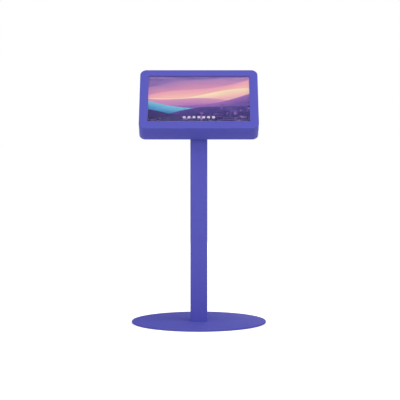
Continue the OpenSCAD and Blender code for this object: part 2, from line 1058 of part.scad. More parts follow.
module leaf(side) {
  difference() {
    translate([-hinge_w / 2, side > 0 ? leaf_free : -leaf_l, head_d])
      cube([hinge_w, leaf_l - leaf_free, leaf_t]);
    leaf_screw_places(side)
      rod(leaf_screw_d / 2 + 0.2, head_d - e, head_d + leaf_t + e);
  }
}

module hinge_panel_leaves() {
  color(zinc)
    in_head()
      hinge_places() {
        leaf(-1);
        knuckle(-hinge_w / 2, -knuckle_w / 2, -1);
        knuckle(knuckle_w / 2, hinge_w / 2, -1);
      }
}

module hinge_door_leaves() {
  color(zinc)
    in_head()
      hinge_places() {
        leaf(1);
        knuckle(loose - knuckle_w / 2, knuckle_w / 2 - loose, 1);
      }
}

module hinge_pins() {
  color(steel)
    in_head()
      hinge_places()
        translate([0, 0, axis_d])
          rotate([0, 90, 0]) {
            cylinder(r = hinge_pin_d / 2, h = hinge_w + pin_head_t, center = true);
            for (end = [-1, 1])
              translate([0, 0, end * (hinge_w + pin_head_t) / 2])
                cylinder(r = hinge_pin_d / 2 + 1, h = pin_head_t, center = true);
          }
}

module leaf_screws(side) {
  color(zinc)
    in_head()
      hinge_places()
        leaf_screw_places(side)
          pan_screw(leaf_screw_d, leaf_screw_l, leaf_screw_d * 0.9, leaf_screw_d * 0.4, head_d + leaf_t);
}

module hinge_panel_screws() {
  leaf_screws(-1);
}

module hinge_door_screws() {
  leaf_screws(1);
}

module lock_body() {
  color(zinc)
    at_face(0, lock_u)
      rotate_extrude()
        polygon([
          [barrel_r + fit, lock_back], [lock_r, lock_back], [lock_r, head_d],
          [lock_r + 2.5, head_d], [lock_r + 1.5, head_d + lock_rim_t], [barrel_r + fit, head_d + lock_rim_t]
        ]);
}

module lock_nut() {
  color(zinc)
    at_face(0, lock_u)
      difference() {
        hex_bar(nut_flats, door_inner_d - nut_t, door_inner_d);
        rod(lock_r + fit, door_inner_d - nut_t - e, head_d);
      }
}

module lock_barrel() {
  face_d = head_d + lock_rim_t - 0.5;
  color(steel)
    at_face(0, lock_u)
      difference() {
        union() {
          rod(barrel_r, lock_back, face_d);
          rod(tail_r, lock_back - cam_t, lock_back + e);
        }
        block(key_slot[0], key_slot[1], face_d - key_slot[2], face_d + e);
        rod(cam_screw_r + fit, lock_back - cam_t - e, lock_back + cam_screw_l);
      }
}

// Cam of the lock, modelled unlocked, along x
module lock_cam() {
  color(zinc)
    at_face(0, lock_u)
      difference() {
        union() {
          translate([-cam_half, -cam_half, lock_back - cam_t])
            cube([cam_half + cam_step_x + cam_t, 2 * cam_half, cam_t]);
          translate([cam_step_x, -cam_half, lock_back - cam_t])
            cube([cam_t, 2 * cam_half, cam_tip_d - lock_back + cam_t]);
          translate([cam_step_x, -cam_half, cam_tip_d - cam_t])
            cube([cam_reach - cam_step_x, 2 * cam_half, cam_t]);
        }
        rod(tail_r + fit, lock_back - cam_t - e, lock_back + e);
      }
}

module cam_screw() {
  color(zinc)
    at_face(0, lock_u) {
      rod(cam_screw_r, lock_back - cam_t - 0.2, lock_back + cam_screw_l - 1);
      hex_bar(8, lock_back - 2 * cam_t, lock_back - cam_t);
    }
}

// Display

module screen_gasket() {
  hole_w = screen_w + 2 * gasket_set;
  hole_h = screen_h + 2 * gasket_set;
  color(rubber)
    at_face(0, screen_u)
      difference() {
        slab(glass_w, glass_h, glass_r, sheet_t, glass_d);
        slab(hole_w, hole_h, screen_r + gasket_set, sheet_t - e, glass_d + e);
      }
}

module touch_glass() {
  color(glass_tint)
    at_face(0, screen_u)
      slab(glass_w, glass_h, glass_r, glass_d, lcd_d);
}

module lcd_panel() {
  color("#2b2d36")
    at_face(0, screen_u)
      slab(lcd_w, lcd_h, glass_r / 2, lcd_d, rest_d);
}

module display_chassis() {
  inside_w = chassis_w - 2 * chassis_t;
  inside_h = chassis_h - 2 * chassis_t;
  color(steel)
    in_head()
      difference() {
        union() {
          translate([0, screen_u, 0])
            difference() {
              slab(chassis_w, chassis_h, chassis_r, rim_d, chassis_d);
              slab(inside_w, inside_h, chassis_r - chassis_t, rim_d - e, floor_d);
            }
          translate([0, screen_u, 0])
            for (sx = [-1, 0, 1], su = [-1, 1])
              translate([sx * (lcd_w / 2 - chassis_post_in), su * (lcd_h / 2 - chassis_post_in), 0])
                rod(chassis_post_r, rest_d, floor_d + chassis_t / 2);
          translate([control_x, control_u, 0])
            at_corners(board_w - 14, board_h - 12)
              rod(small_d, floor_d + chassis_t / 2, board_d);
        }
        chassis_screw_places()
          rod(small_d / 2, floor_d - e, chassis_d + e);
        translate([control_x, control_u, 0])
          slab(60, 10, 2, floor_d - e, chassis_d + e);
        for (side = [-1, 1])
          bracket_screw_places(side)
            cylinder(r = small_d / 2, h = 6, center = true);
      }
}

// Screws through the side walls of the chassis, along x
module bracket_screw_places(side) {
  for (su = [-1, 0, 1])
    translate([side * chassis_w / 2, screen_u + su * bracket_screw_step, bracket_screw_d])
      rotate([0, 90, 0])
        children();
}

module display_brackets() {
  color(steel)
    in_head()
      for (side = [-1, 1])
        difference() {
          translate([0, screen_u, 0]) {
            translate([side * (chassis_w + bracket_t) / 2, 0, 0])
              block(bracket_t, bracket_l, shoulder_d, shoulder_d + bracket_h);
            translate([side * (chassis_w + bracket_foot) / 2, 0, 0])
              block(bracket_foot, bracket_l, shoulder_d, shoulder_d + bracket_t);
          }
          translate([0, screen_u, 0])
            stud_places(side)
              rod(stud_r + loose, shoulder_d - e, shoulder_d + bracket_t + e);
          bracket_screw_places(side)
            cylinder(r = small_hole_r, h = 8, center = true);
        }
}

module bracket_nuts() {
  nut_d = shoulder_d + bracket_t;
  color(zinc)
    at_face(0, screen_u)
      for (side = [-1, 1])
        stud_places(side)
          difference() {
            hex_bar(3.5 * stud_r, nut_d, nut_d + stud_nut_t);
            rod(stud_r + fit, nut_d - e, nut_d + stud_nut_t + e);
          }
}

// Every place where a small screw enters the back of the chassis
module chassis_screw_places() {
  translate([control_x, control_u, 0])
    cover_screw_places()
      children();
  translate([key_x, key_u, 0])
    at_sides(key_tab_x)
      children();
  translate([pc_x, pc_u, 0])
    pc_bracket_screw_places()
      children();
  translate([supply_x, supply_u, 0])
    strap_screw_places()
      children();
}

module bracket_screws() {
  color(zinc)
    in_head() {
      chassis_screw_places()
        small_screw(chassis_d + bracket_t);
      for (side = [-1, 1])
        bracket_screw_places(side)
          mirror([0, 0, side > 0 ? 0 : 1])
            small_screw(bracket_t);
    }
}

// Display controller under its cover, low on the back of the chassis

module controller_board() {
  top = board_d + board_t;
  color(board_green)
    at_face(control_x, control_u) {
      block(board_w, board_h, board_d, top);
      for (x = port_x)
        translate([x, control_port_u - control_u - 8, 0])
          block(port_w, 16, top - 0.2, top + port_h);
      for (x = [-45, -10])
        translate([x, -8, 0])
          block(18, 18, top - 0.2, top + 2);
    }
}

module cover_screw_places() {
  at_sides((cover_w + cover_tab) / 2)
    children();
}

module controller_cover() {
  top = board_d + board_t;
  color(steel)
    at_face(control_x, control_u)
      difference() {
        union() {
          block(cover_w, cover_h, chassis_d, cover_d);
          block(cover_w + 2 * cover_tab, 14, chassis_d, chassis_d + bracket_t);
        }
        block(cover_w - 2 * cover_t, cover_h - 2 * cover_t, chassis_d - e, cover_d - cover_t);
        for (x = port_x)
          translate([x, cover_h / 2, 0])
            block(port_w + 1, 6, top - 0.5, top + port_h + 0.5);
        cover_screw_places()
          rod(small_hole_r, chassis_d - e, chassis_d + bracket_t + e);
        translate([0, -8, 0])
          slots(10, 8, 3, 30, cover_d - cover_t - e, cover_d + e);
      }
}

// Setting buttons of the display, on a small board near the service door

module key_place(i) {
  translate([(i - (key_count - 1) / 2) * key_pitch, 0, 0])
    children();
}

module keypad_board() {
  color(board_green)
    at_face(key_x, key_u) {
      block(key_board[0], key_board[1], chassis_d, chassis_d + key_board_t);
      for (i = [0 : key_count - 1])
        key_place(i)
          rod(dome_r, chassis_d + key_board_t - 0.2, dome_d);
    }
}

module keypad_case() {
  color(black_plastic)
    at_face(key_x, key_u)
      difference() {
        union() {
          block(key_case[0], key_case[1], chassis_d, key_case_d);
          block(2 * key_tab_x + cover_tab, 12, chassis_d, chassis_d + bracket_t);
        }
        block(key_board[0] + 1, key_board[1] + 1, chassis_d - e, chassis_d + key_board_t);
        for (i = [0 : key_count - 1])
          key_place(i)
            rod(key_d / 2 + loose, chassis_d, key_case_d + e);
        at_sides(key_tab_x)
          rod(small_hole_r, chassis_d - e, chassis_d + bracket_t + e);
      }
}

module key(i) {
  color("#c9cad2")
    at_face(key_x, key_u)
      key_place(i)
        rod(key_d / 2, key_base_d, key_case_d + key_proud);
}

// Computer, on a bracket on the back of the chassis

module pc_bracket_screw_places() {
  at_corners(pc_w + pc_bracket_ear, pc_bracket_h - 20)
    children();
}

module pc_bracket() {
  color(steel)
    at_face(pc_x, pc_u)
      difference() {
        union() {
          block(pc_w + 2 * pc_bracket_ear, pc_bracket_h, chassis_d, pc_front);
          at_sides(pc_w / 2 + loose + pc_wall / 2)
            block(pc_wall, pc_bracket_h, chassis_d, pc_front + pc_bracket_lip);
        }
        pc_bracket_screw_places()
          rod(small_hole_r, chassis_d - e, pc_front + e);
      }
}

module pc_corners() {
  at_corners(pc_w - 2 * pc_screw_in, pc_h - 2 * pc_screw_in)
    children();
}

module pc_case() {
  color("#3a3c44")
    at_face(pc_x, pc_u)
      difference() {
        union() {
          difference() {
            slab(pc_w, pc_h, pc_r, pc_front, lid_d);
            slab(pc_w - 2 * pc_wall, pc_h - 2 * pc_wall, pc_r - pc_wall, pc_front + pc_wall, lid_d + e);
          }
          pc_corners()
            rod(pc_post_r, pc_front + pc_wall / 2, lid_d);
          at_corners(pc_w - 40, pc_h - 24)
            rod(small_d, pc_front + pc_wall / 2, pc_board_d);
        }
        pc_corners()
          rod(small_d / 2, lid_d - pc_screw_l, lid_d + e);
        for (x = port_x)
          translate([x, -pc_h / 2, 0])
            block(port_w + 1, 4, pc_board_top - 0.5, pc_board_top + pc_port_h + 0.5);
        for (sx = [-1, 1], i = [-2 : 2])
          translate([sx * pc_w / 2, i * 7 - 20, 0])
            block(4, 3, pc_front + pc_bracket_lip + 2, lid_d - 4);
      }
}

module pc_lid() {
  color("#3a3c44")
    at_face(pc_x, pc_u)
      difference() {
        slab(pc_w, pc_h, pc_r, lid_d, pc_back);
        translate([0, fan_u, 0])
          fan_grille();
        translate(button_place)
          rod(button_r + loose, lid_d - e, pc_back + e);
        pc_corners()
          rod(small_hole_r, lid_d - e, pc_back + e);
      }
}

// Round openings between bars, over the fan
module fan_grille() {
  translate([0, 0, lid_d - e])
    linear_extrude(pc_wall + 2 * e)
      difference() {
        for (r = [8 : 5 : fan_d / 2 - 3])
          difference() {
            circle(r + 3.2);
            circle(r);
          }
        square([3, fan_d + 4], center = true);
        square([fan_d + 4, 3], center = true);
      }
}

module pc_screws() {
  color(zinc)
    at_face(pc_x, pc_u)
      pc_corners()
        small_screw(pc_back, pc_screw_l);
}

module pc_board() {
  sink = 44;
  fin_step = 5;
  color(board_green)
    at_face(pc_x, pc_u) {
      difference() {
        block(pc_w - 8, pc_h - 8, pc_board_d, pc_board_top);
        pc_corners()
          block(12, 12, pc_board_d - e, pc_board_top + e);
      }
      translate([0, fan_u, 0]) {
        block(sink, sink, pc_board_top - 0.2, pc_board_top + 3);
        for (i = [-4 : 4])
          translate([i * fin_step, 0, 0])
            block(1.5, sink, pc_board_top + 2.8, pc_board_top + 12);
      }
      for (x = port_x)
        translate([x, pc_port_u - pc_u + 10, 0])
          block(port_w, 20, pc_board_top - 0.2, pc_board_top + pc_port_h);
      translate(button_place)
        block(8, 8, pc_board_top - 0.2, lid_d - button_lip - button_travel - 2.5);
    }
}

module fan_frame() {
  color(black_plastic)
    at_face(pc_x, pc_u + fan_u)
      difference() {
        union() {
          difference() {
            slab(fan_side, fan_side, 4, fan_front, lid_d);
            rod(fan_d / 2 + 1, fan_front - e, lid_d + e);
          }
          rod(hub_r + 1, fan_front, fan_front + fan_web);
          for (i = [0 : 2])
            rotate([0, 0, i * 120 + 30])
              translate([0, -2, fan_front])
                cube([fan_d / 2 + 2, 4, fan_web]);
        }
        rod(shaft_r + fit, fan_front - e, fan_front + fan_web + e);
      }
}

module fan_rotor() {
  blade_mid = (fan_front + fan_web + lid_d) / 2 + 0.3;
  color("#2c2d33")
    at_face(pc_x, pc_u + fan_u) {
      rod(hub_r, fan_front + fan_web + 1, lid_d - 1);
      rod(shaft_r, fan_front, fan_front + fan_web + 2);
      for (i = [0 : blade_count - 1])
        rotate([0, 0, i * 360 / blade_count])
          translate([hub_r - 1, 0, blade_mid])
            rotate([blade_pitch, 0, 0])
              translate([0, -blade_w / 2, -blade_t / 2])
                cube([fan_d / 2 - hub_r + 0.6, blade_w, blade_t]);
    }
}

module pc_power_button() {
  lip_d = lid_d - loose;
  color("#d7d8de")
    at_face(pc_x + button_place[0], pc_u + button_place[1]) {
      rod(button_r, lip_d - button_lip - 2, pc_back + 2);
      rod(button_r + button_lip, lip_d - button_lip, lip_d);
    }
}

// Power supply, strapped to the back of the chassis

module power_supply() {
  color(black_plastic)
    at_face(supply_x, supply_u)
      slab(supply_l, supply_w, supply_r, chassis_d, chassis_d + supply_t);
}

module strap_screw_places() {
  for (su = [-1, 1])
    translate([0, su * (supply_w / 2 + bracket_t + strap_foot / 2), 0])
      children();
}

module supply_strap() {
  span = supply_w + 2 * bracket_t;
  color(zinc)
    at_face(supply_x, supply_u)
      difference() {
        union() {
          block(strap_w, span, chassis_d, chassis_d + supply_t + bracket_t);
          block(strap_w, span + 2 * strap_foot, chassis_d, chassis_d + bracket_t);
        }
        block(strap_w + e, supply_w, chassis_d - e, chassis_d + supply_t);
        strap_screw_places()
          rod(small_hole_r, chassis_d - e, chassis_d + bracket_t + e);
      }
}

// Leads between the computer, the display, the keypad and the power supply

// Lead from a plug on the computer down to a plug on the controller
module short_lead(x) {
  top_u = pc_port_u - plug_l;
  low_u = control_port_u + plug_l;
  lead(
    [
      head_point(pc_x + x, top_u, pc_port_d),
      head_point(pc_x + x, top_u - 8, pc_port_d),
      head_point(control_x + x, low_u + 8, control_port_d),
      head_point(control_x + x, low_u, control_port_d)
    ],
    signal_d, lead_aside, steps = 5
  );
}

module signal_leads() {
  color(lead_black) {
    short_lead(port_x[0]);
    short_lead(port_x[1]);
    lead(keypad_route, keypad_lead_d, lead_aside);
  }
}

module dc_lead() {
  color(lead_black) {
    lead(dc_pc_route, dc_d, lead_aside);
    lead(dc_control_route, dc_d, lead_aside);
  }
}

// Plug in the middle depth mid, that reaches from u up by its length
module plug(x, u, mid, w, l, t) {
  translate([x - w / 2, u, mid - t / 2])
    cube([w, l, t]);
}

module lead_plugs() {
  color(black_plastic)
    in_head() {
      for (x = port_x) {
        plug(pc_x + x, pc_port_u - plug_l, pc_port_d, plug_w, plug_l, plug_t);
        plug(control_x + x, control_port_u, control_port_d, plug_w, plug_l, plug_t);
      }
      plug(
        supply_start - mains_plug_l / 2, supply_u - mains_plug_w / 2, supply_mid,
        mains_plug_l, mains_plug_w, mains_plug_t
      );
      plug(
        supply_end + supply_plug_l / 2, supply_u - supply_plug_w / 2, supply_mid,
        supply_plug_l, supply_plug_w, supply_plug_t
      );
      plug(
        keypad_plug_x + keypad_plug_l / 2, key_u - keypad_plug_w / 2, keypad_mid,
        keypad_plug_l, keypad_plug_w, keypad_plug_t
      );
    }
}

base_plate();
rubber_pads();
base_screws();
post_tube();
post_foot();
post_top_plate();
power_inlet();
inlet_pins();
inlet_screws();
inlet_boot();
power_switch();
mains_lead();
lead_clips();
lead_grommet();
head_shell();
back_panel();
panel_screws();
backing_plate();
head_bolts();
head_washers();
service_door();
hinge_panel_leaves();
hinge_door_leaves();
hinge_pins();
hinge_panel_screws();
hinge_door_screws();
lock_body();
lock_nut();
lock_barrel();
lock_cam();
cam_screw();
screen_gasket();
touch_glass();
lcd_panel();
display_chassis();
display_brackets();
bracket_nuts();
bracket_screws();
controller_board();
controller_cover();
keypad_board();
keypad_case();
key(0);  // key_1
key(1);  // key_2
key(2);  // key_3
key(3);  // key_4
key(4);  // key_5
pc_bracket();
pc_case();
pc_lid();
pc_screws();
pc_board();
fan_frame();
fan_rotor();
pc_power_button();
power_supply();
supply_strap();
signal_leads();
dc_lead();
lead_plugs();
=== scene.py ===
"""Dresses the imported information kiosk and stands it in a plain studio.

The kiosk's own surfaces are worked out here with numpy, in millimetres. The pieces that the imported
model already shapes well get a smooth copy with small rounds on their edges. Places in the head are
given by x, by u, the distance up the face from its lower edge, and by d, the depth behind the face.
Every piece rides on the body that carries it.
"""

import json
import logging
import math
from collections.abc import Callable
from dataclasses import dataclass, field
from enum import Enum

import bmesh
import bpy
import numpy as np
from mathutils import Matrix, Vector


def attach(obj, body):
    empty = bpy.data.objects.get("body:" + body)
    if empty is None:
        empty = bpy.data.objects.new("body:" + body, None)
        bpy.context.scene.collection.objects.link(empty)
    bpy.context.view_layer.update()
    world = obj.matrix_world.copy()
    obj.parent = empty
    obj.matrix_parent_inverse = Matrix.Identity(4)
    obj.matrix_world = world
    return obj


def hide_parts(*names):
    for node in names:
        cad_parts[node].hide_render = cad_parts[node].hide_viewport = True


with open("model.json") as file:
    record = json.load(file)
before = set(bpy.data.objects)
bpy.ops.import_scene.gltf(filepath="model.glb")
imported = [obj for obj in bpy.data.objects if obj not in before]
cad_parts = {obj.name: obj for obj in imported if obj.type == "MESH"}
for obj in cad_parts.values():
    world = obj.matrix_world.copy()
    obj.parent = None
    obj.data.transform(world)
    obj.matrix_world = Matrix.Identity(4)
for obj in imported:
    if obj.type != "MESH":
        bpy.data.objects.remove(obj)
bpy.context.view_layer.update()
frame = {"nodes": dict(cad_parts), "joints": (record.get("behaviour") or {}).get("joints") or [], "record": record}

LOG = logging.getLogger("kiosk")
MM = 0.001
QUARTER = math.pi / 2
# Edges that bend more than this stay sharp
SHARP_DEGREES = 35.0
# The inputs of a Mix node that take its two colours, which share their names with others
A, B = 6, 7

Array = np.ndarray
Piece = bpy.types.Object
Tree = bpy.types.NodeTree
Socket = bpy.types.NodeSocket
# What a shader input takes: a number or colour, the output that feeds it, or a sum, which is written
# as a tuple of the operation and its terms
Term = float | tuple | Socket


class Body(Enum):
    """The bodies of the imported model."""

    STAND = "stand"
    DOOR = "door"
    LOCK = "lock"
    INLET_SWITCH = "inlet_switch"
    FAN = "fan"
    COMPUTER_BUTTON = "computer_button"
    KEY_1 = "display_key_1"
    KEY_2 = "display_key_2"
    KEY_3 = "display_key_3"
    KEY_4 = "display_key_4"
    KEY_5 = "display_key_5"


KEY_BODIES = (Body.KEY_1, Body.KEY_2, Body.KEY_3, Body.KEY_4, Body.KEY_5)


# Finishes


def to_linear(hex_colour: str) -> tuple[float, float, float, float]:
    """Turns an sRGB colour into the linear colour that a shader takes.

    Args:
        hex_colour: the colour as "#rrggbb".

    Returns:
        Linear red, green and blue, and an alpha of 1.
    """
    parts = [int(hex_colour[i : i + 2], 16) / 255 for i in (1, 3, 5)]
    red, green, blue = (c / 12.92 if c <= 0.04045 else ((c + 0.055) / 1.055) ** 2.4 for c in parts)
    return red, green, blue, 1.0


def feed(node: bpy.types.Node, inputs: dict[str | int, Term]) -> None:
    """Sets or links the inputs of a node.

    Args:
        node: the node.
        inputs: socket name or number to what it takes.
    """
    tree = node.id_data
    for key, value in inputs.items():
        if isinstance(value, tuple) and isinstance(value[0], str):
            value = add(tree, "Math", dict(enumerate(value[1:])), operation=value[0])
        if isinstance(value, Socket):
            tree.links.new(value, node.inputs[key])
        else:
            node.inputs[key].default_value = value


def add(
    tree: Tree,
    kind: str,
    inputs: dict[str | int, Term] | None = None,
    stops: dict[float, str] | None = None,
    **settings: str,
) -> Socket | None:
    """Adds one shader node with its settings and links.

    Args:
        tree: the material's or world's node tree.
        kind: the node's type without its "ShaderNode" prefix.
        inputs: socket name or number to what it takes.
        stops: place to sRGB colour, on a colour ramp only.
        **settings: the node's own attributes.

    Returns:
        The node's first output in use.
    """
    node = tree.nodes.new("ShaderNode" + kind)
    for name, value in settings.items():
        setattr(node, name, value)
    feed(node, inputs or {})
    if stops:
        elements = node.color_ramp.elements
        while len(elements) < len(stops):
            elements.new(0.5)
        for element, place in zip(elements, sorted(stops)):
            element.position = place
            element.color = to_linear(stops[place])
    return next((socket for socket in node.outputs if socket.enabled), None)


def bare_tree(owner: bpy.types.Material | bpy.types.World) -> Tree:
    """Gives a material or a world an empty node tree.

    Args:
        owner: the material or world.

    Returns:
        Its tree.
    """
    owner.use_nodes = True
    owner.node_tree.nodes.clear()
    return owner.node_tree


def per_metre(size_mm: float) -> float:
    """Scale of a pattern on Object coordinates whose features measure size_mm."""
    return 1 / (size_mm * MM)


class Texture(Enum):
    """The patterns that a finish takes its changes from, each by its kind of node."""

    CLOUDS = "TexNoise"
    CELLS = "TexVoronoi"


@dataclass(frozen=True)
class Finish:
    """A finish: one Principled shader whose colour and gloss sway by one pattern, with relief from another.

    The shade is the colour's other end, and the gloss swing is added to the roughness.
    """

    title: str
    colour: str
    roughness: float = 0.5
    metallic: float = 0.0
    specular: float = 0.5
    ior: float = 1.5
    transmission: float = 0.0
    shade: str = ""
    sway: Texture = Texture.CLOUDS
    sway_mm: float = 80.0
    sway_detail: float = 3.0
    gloss_swing: tuple[float, float] = (-0.05, 0.05)
    grain: Texture = Texture.CLOUDS
    grain_mm: float = 1.5
    relief: float = 0.1
    relief_depth: float = 0.1

    def material(self) -> bpy.types.Material:
        """Gives the finish's material, made once.

        Returns:
            The material, named after the finish.
        """
        material = bpy.data.materials.get(self.title)
        if material is None:
            material = bpy.data.materials.new(self.title)
            tree = bare_tree(material)
            plain = {
                "Base Color": to_linear(self.colour),
                "Roughness": self.roughness,
                "Metallic": self.metallic,
                "Specular IOR Level": self.specular,
                "IOR": self.ior,
                "Transmission Weight": self.transmission,
            }
            surface = add(tree, "BsdfPrincipled", plain)
            feed(surface.node, self.varied(tree, add(tree, "TexCoord").node.outputs["Object"]))
            add(tree, "OutputMaterial", {"Surface": surface})
        return material

    def varied(self, tree: Tree, place: Socket) -> dict[str, Term]:
        """Works out what changes over a piece.

        Clouds sway colour and gloss together. Each cell has a tone and a gloss of its own.

        Args:
            tree: the material's node tree.
            place: Object coordinates, in metres.

        Returns:
            Names of the shader's inputs to what they take.
        """
        swaying = {"Vector": place, "Scale": per_metre(self.sway_mm)}
        if self.sway is Texture.CELLS:
            cells = add(tree, self.sway.value, swaying).node.outputs["Color"]
            tone, gloss, _ = add(tree, "SeparateColor", {"Color": cells}).node.outputs
        else:
            tone = gloss = add(tree, self.sway.value, swaying | {"Detail": self.sway_detail})
        mixed = {"Factor": tone, A: to_linear(self.colour), B: to_linear(self.shade or self.colour)}
        low, high = self.gloss_swing
        inputs = {
            "Base Color": add(tree, "Mix", mixed, data_type="RGBA"),
            "Roughness": ("MULTIPLY_ADD", gloss, high - low, self.roughness + low),
        }
        if self.relief:
            grain = add(tree, self.grain.value, {"Vector": place, "Scale": per_metre(self.grain_mm)})
            relief = {"Strength": self.relief, "Distance": self.grain_mm * MM * self.relief_depth}
            inputs["Normal"] = add(tree, "Bump", {"Height": grain} | relief)
        return inputs


@dataclass(frozen=True)
class BoardFinish(Finish):
    """Solder mask over copper: green laminate with lighter tracks in a square grid."""

    track: str = "#3c8257"
    pitch_mm: float = 2.54
    track_width: float = 0.03

    def varied(self, tree: Tree, place: Socket) -> dict[str, Term]:
        """Draws tracks as the edges of a grid's cells, which a noise joins and breaks.

        Args:
            tree: the material's node tree.
            place: Object coordinates, in metres.

        Returns:
            The colour.
        """
        grid = {"Vector": place, "Scale": per_metre(4 * self.pitch_mm), "Mortar Size": self.track_width}
        tracks = add(tree, "TexBrick", grid).node.outputs["Fac"]
        breaks = add(tree, "TexNoise", {"Vector": place, "Scale": per_metre(3 * self.pitch_mm)})
        shown = {"Factor": ("MULTIPLY", tracks, breaks), A: to_linear(self.colour), B: to_linear(self.track)}
        return {"Base Color": add(tree, "Mix", shown, data_type="RGBA")}


@dataclass(frozen=True)
class Band:
    """One ribbon of the screen's picture: the line and wave of its crest, and its two colours."""

    height: float
    slope: float
    swing: float
    waves: float
    phase: float
    crest: str
    depth: str


@dataclass(frozen=True)
class Canvas:
    """What the screen's picture is painted on and with: its map, that map's two ways, and haze."""

    tree: Tree
    uv: Socket
    across: Socket
    up: Socket
    haze: Socket


@dataclass(frozen=True)
class PictureFinish(Finish):
    """The lit display: a generic picture of flowing ribbons and discs, with a row of plain tiles.

    The picture is made on the piece's own UV map, 0 to 1 over the lit area. Outside that area the
    panel shows a light slate violet that glows as the picture does: a painted reflection of the room
    in the glass over the panel's border. Light from the room falls on the panel too, so the picture is
    dimmed until both together show its colours as they are written.
    """

    glow: float = 1.0
    dim: float = 0.45
    aspect: float = 16 / 9
    haze_lean: float = 16.0
    haze_scale: tuple[float, float, float] = (1.2, 5.5, 1.0)
    haze_size: float = 1.7
    haze_tints: tuple[tuple[float, str], ...] = ((0.3, "#6a59a4"), (0.7, "#9a72ae"))
    haze_share: float = 0.6
    stripe: float = 0.034
    stripe_share: float = 0.07
    fade: float = 6.0
    soft_edge: float = 0.003
    disc_scale: float = 17.0
    disc_reach: tuple[float, float, float] = (0.45, 0.45, 1.5)
    disc_cover: float = 0.8
    disc_tints: tuple[tuple[float, str], ...] = ((0.2, "#1c1850"), (0.6, "#4f3886"), (0.9, "#8a63aa"))
    tile_count: int = 7
    tile_pitch: float = 0.085
    tile_row: float = 0.085
    tile_half: float = 0.014
    tile_corner: float = 0.010
    tile_edge: float = 0.002
    tile_cover: float = 0.85
    tile_colour: str = "#d9d0ec"
    bands: tuple[Band, ...] = (
        Band(0.900, 0.30, 0.050, 0.70, 0.2, "#9f78b2", "#cf8cb0"),
        Band(0.740, 0.42, 0.060, 0.80, 1.0, "#e39bb0", "#efb7ae"),
        Band(0.600, 0.20, 0.050, 0.90, 2.9, "#f3dcb6", "#e6aab0"),
        Band(0.470, -0.18, 0.060, 0.80, 4.6, "#d493b6", "#a870b4"),
        Band(0.385, 0.42, 0.050, 0.95, 0.6, "#9465ae", "#674a9c"),
        Band(0.290, -0.36, 0.050, 0.75, 3.6, "#74bcd9", "#3f7fb8"),
        Band(0.250, 0.30, 0.050, 0.90, 5.2, "#52408f", "#352b72"),
        Band(0.150, -0.16, 0.045, 1.20, 2.2, "#3f3076", "#241f58"),
    )

    def varied(self, tree: Tree, place: Socket) -> dict[str, Term]:
        """Paints haze, ribbons, discs and tiles inside the panel's border, and lights them.

        Args:
            tree: the material's node tree.
            place: not used, because the picture follows the UV map.

        Returns:
            The same picture as base colour and as emission, and the emission's strength.
        """
        uv = add(tree, "UVMap", uv_map=LcdPanel.UV_NAME)
        across, up, _ = add(tree, "SeparateXYZ", {0: uv}).node.outputs
        lean = (0.0, 0.0, math.radians(self.haze_lean))
        slanted = add(tree, "Mapping", {"Vector": uv, "Rotation": lean, "Scale": self.haze_scale})
        clouds = {"Vector": slanted, "Scale": self.haze_size, "Detail": 3.0, "Distortion": 0.5}
        haze = add(tree, "TexNoise", clouds)
        canvas = Canvas(tree, uv, across, up, haze)
        picture = add(tree, "ValToRGB", {0: haze}, stops=dict(self.haze_tints))
        for band in self.bands:
            picture = self.ribbon(canvas, picture, band)
        picture = self.tiles(canvas, self.discs(canvas, picture))
        dimmed = {"Factor": 1.0, A: picture, B: (self.dim, self.dim, self.dim, 1.0)}
        picture = add(tree, "Mix", dimmed, data_type="RGBA", blend_type="MULTIPLY")
        # Within half of the lit area from its middle, both ways
        inside = (("LESS_THAN", ("ABSOLUTE", ("SUBTRACT", way, 0.5)), 0.5) for way in (across, up))
        # Outside the lit area the border takes the finish's colour and glows with the picture: painted reflection
        # of the room in the glass
        framed = {"Factor": ("MULTIPLY", *inside), A: to_linear(self.colour), B: picture}
        shown = add(tree, "Mix", framed, data_type="RGBA")
        return {"Base Color": shown, "Emission Color": shown, "Emission Strength": self.glow}

    def ribbon(self, canvas: Canvas, under: Socket, band: Band) -> Socket:
        """Lays one ribbon over the picture.

        Its crest is height + slope (across - 1/2) + swing sin(2 pi waves across + phase). Below it the
        tone goes from the crest's to the depth's, crossed by haze and by fine stripes along the crest.

        Args:
            canvas: the canvas.
            under: the colours so far.
            band: the ribbon.

        Returns:
            The colours with the ribbon on them.
        """
        tree, across = canvas.tree, canvas.across
        turn = ("MULTIPLY_ADD", across, 2 * math.pi * band.waves, band.phase)
        line = ("MULTIPLY_ADD", across, band.slope, band.height - band.slope / 2)
        crest = ("MULTIPLY_ADD", ("SINE", turn), band.swing, line)
        below = add(tree, "Math", {0: crest, 1: canvas.up}, operation="SUBTRACT")
        stripes = ("MULTIPLY", ("SINE", ("MULTIPLY", below, 2 * math.pi / self.stripe)), self.stripe_share)
        streaks = ("MULTIPLY_ADD", canvas.haze, self.haze_share, -self.haze_share / 2)
        depth = ("ADD", ("MULTIPLY", below, self.fade), ("ADD", stripes, streaks))
        tones = {"Factor": depth, A: to_linear(band.crest), B: to_linear(band.depth)}
        edge = {"Value": below, "From Min": -self.soft_edge, "From Max": self.soft_edge}
        laid = {"Factor": add(tree, "MapRange", edge), A: under, B: add(tree, "Mix", tones, data_type="RGBA")}
        return add(tree, "Mix", laid, data_type="RGBA")

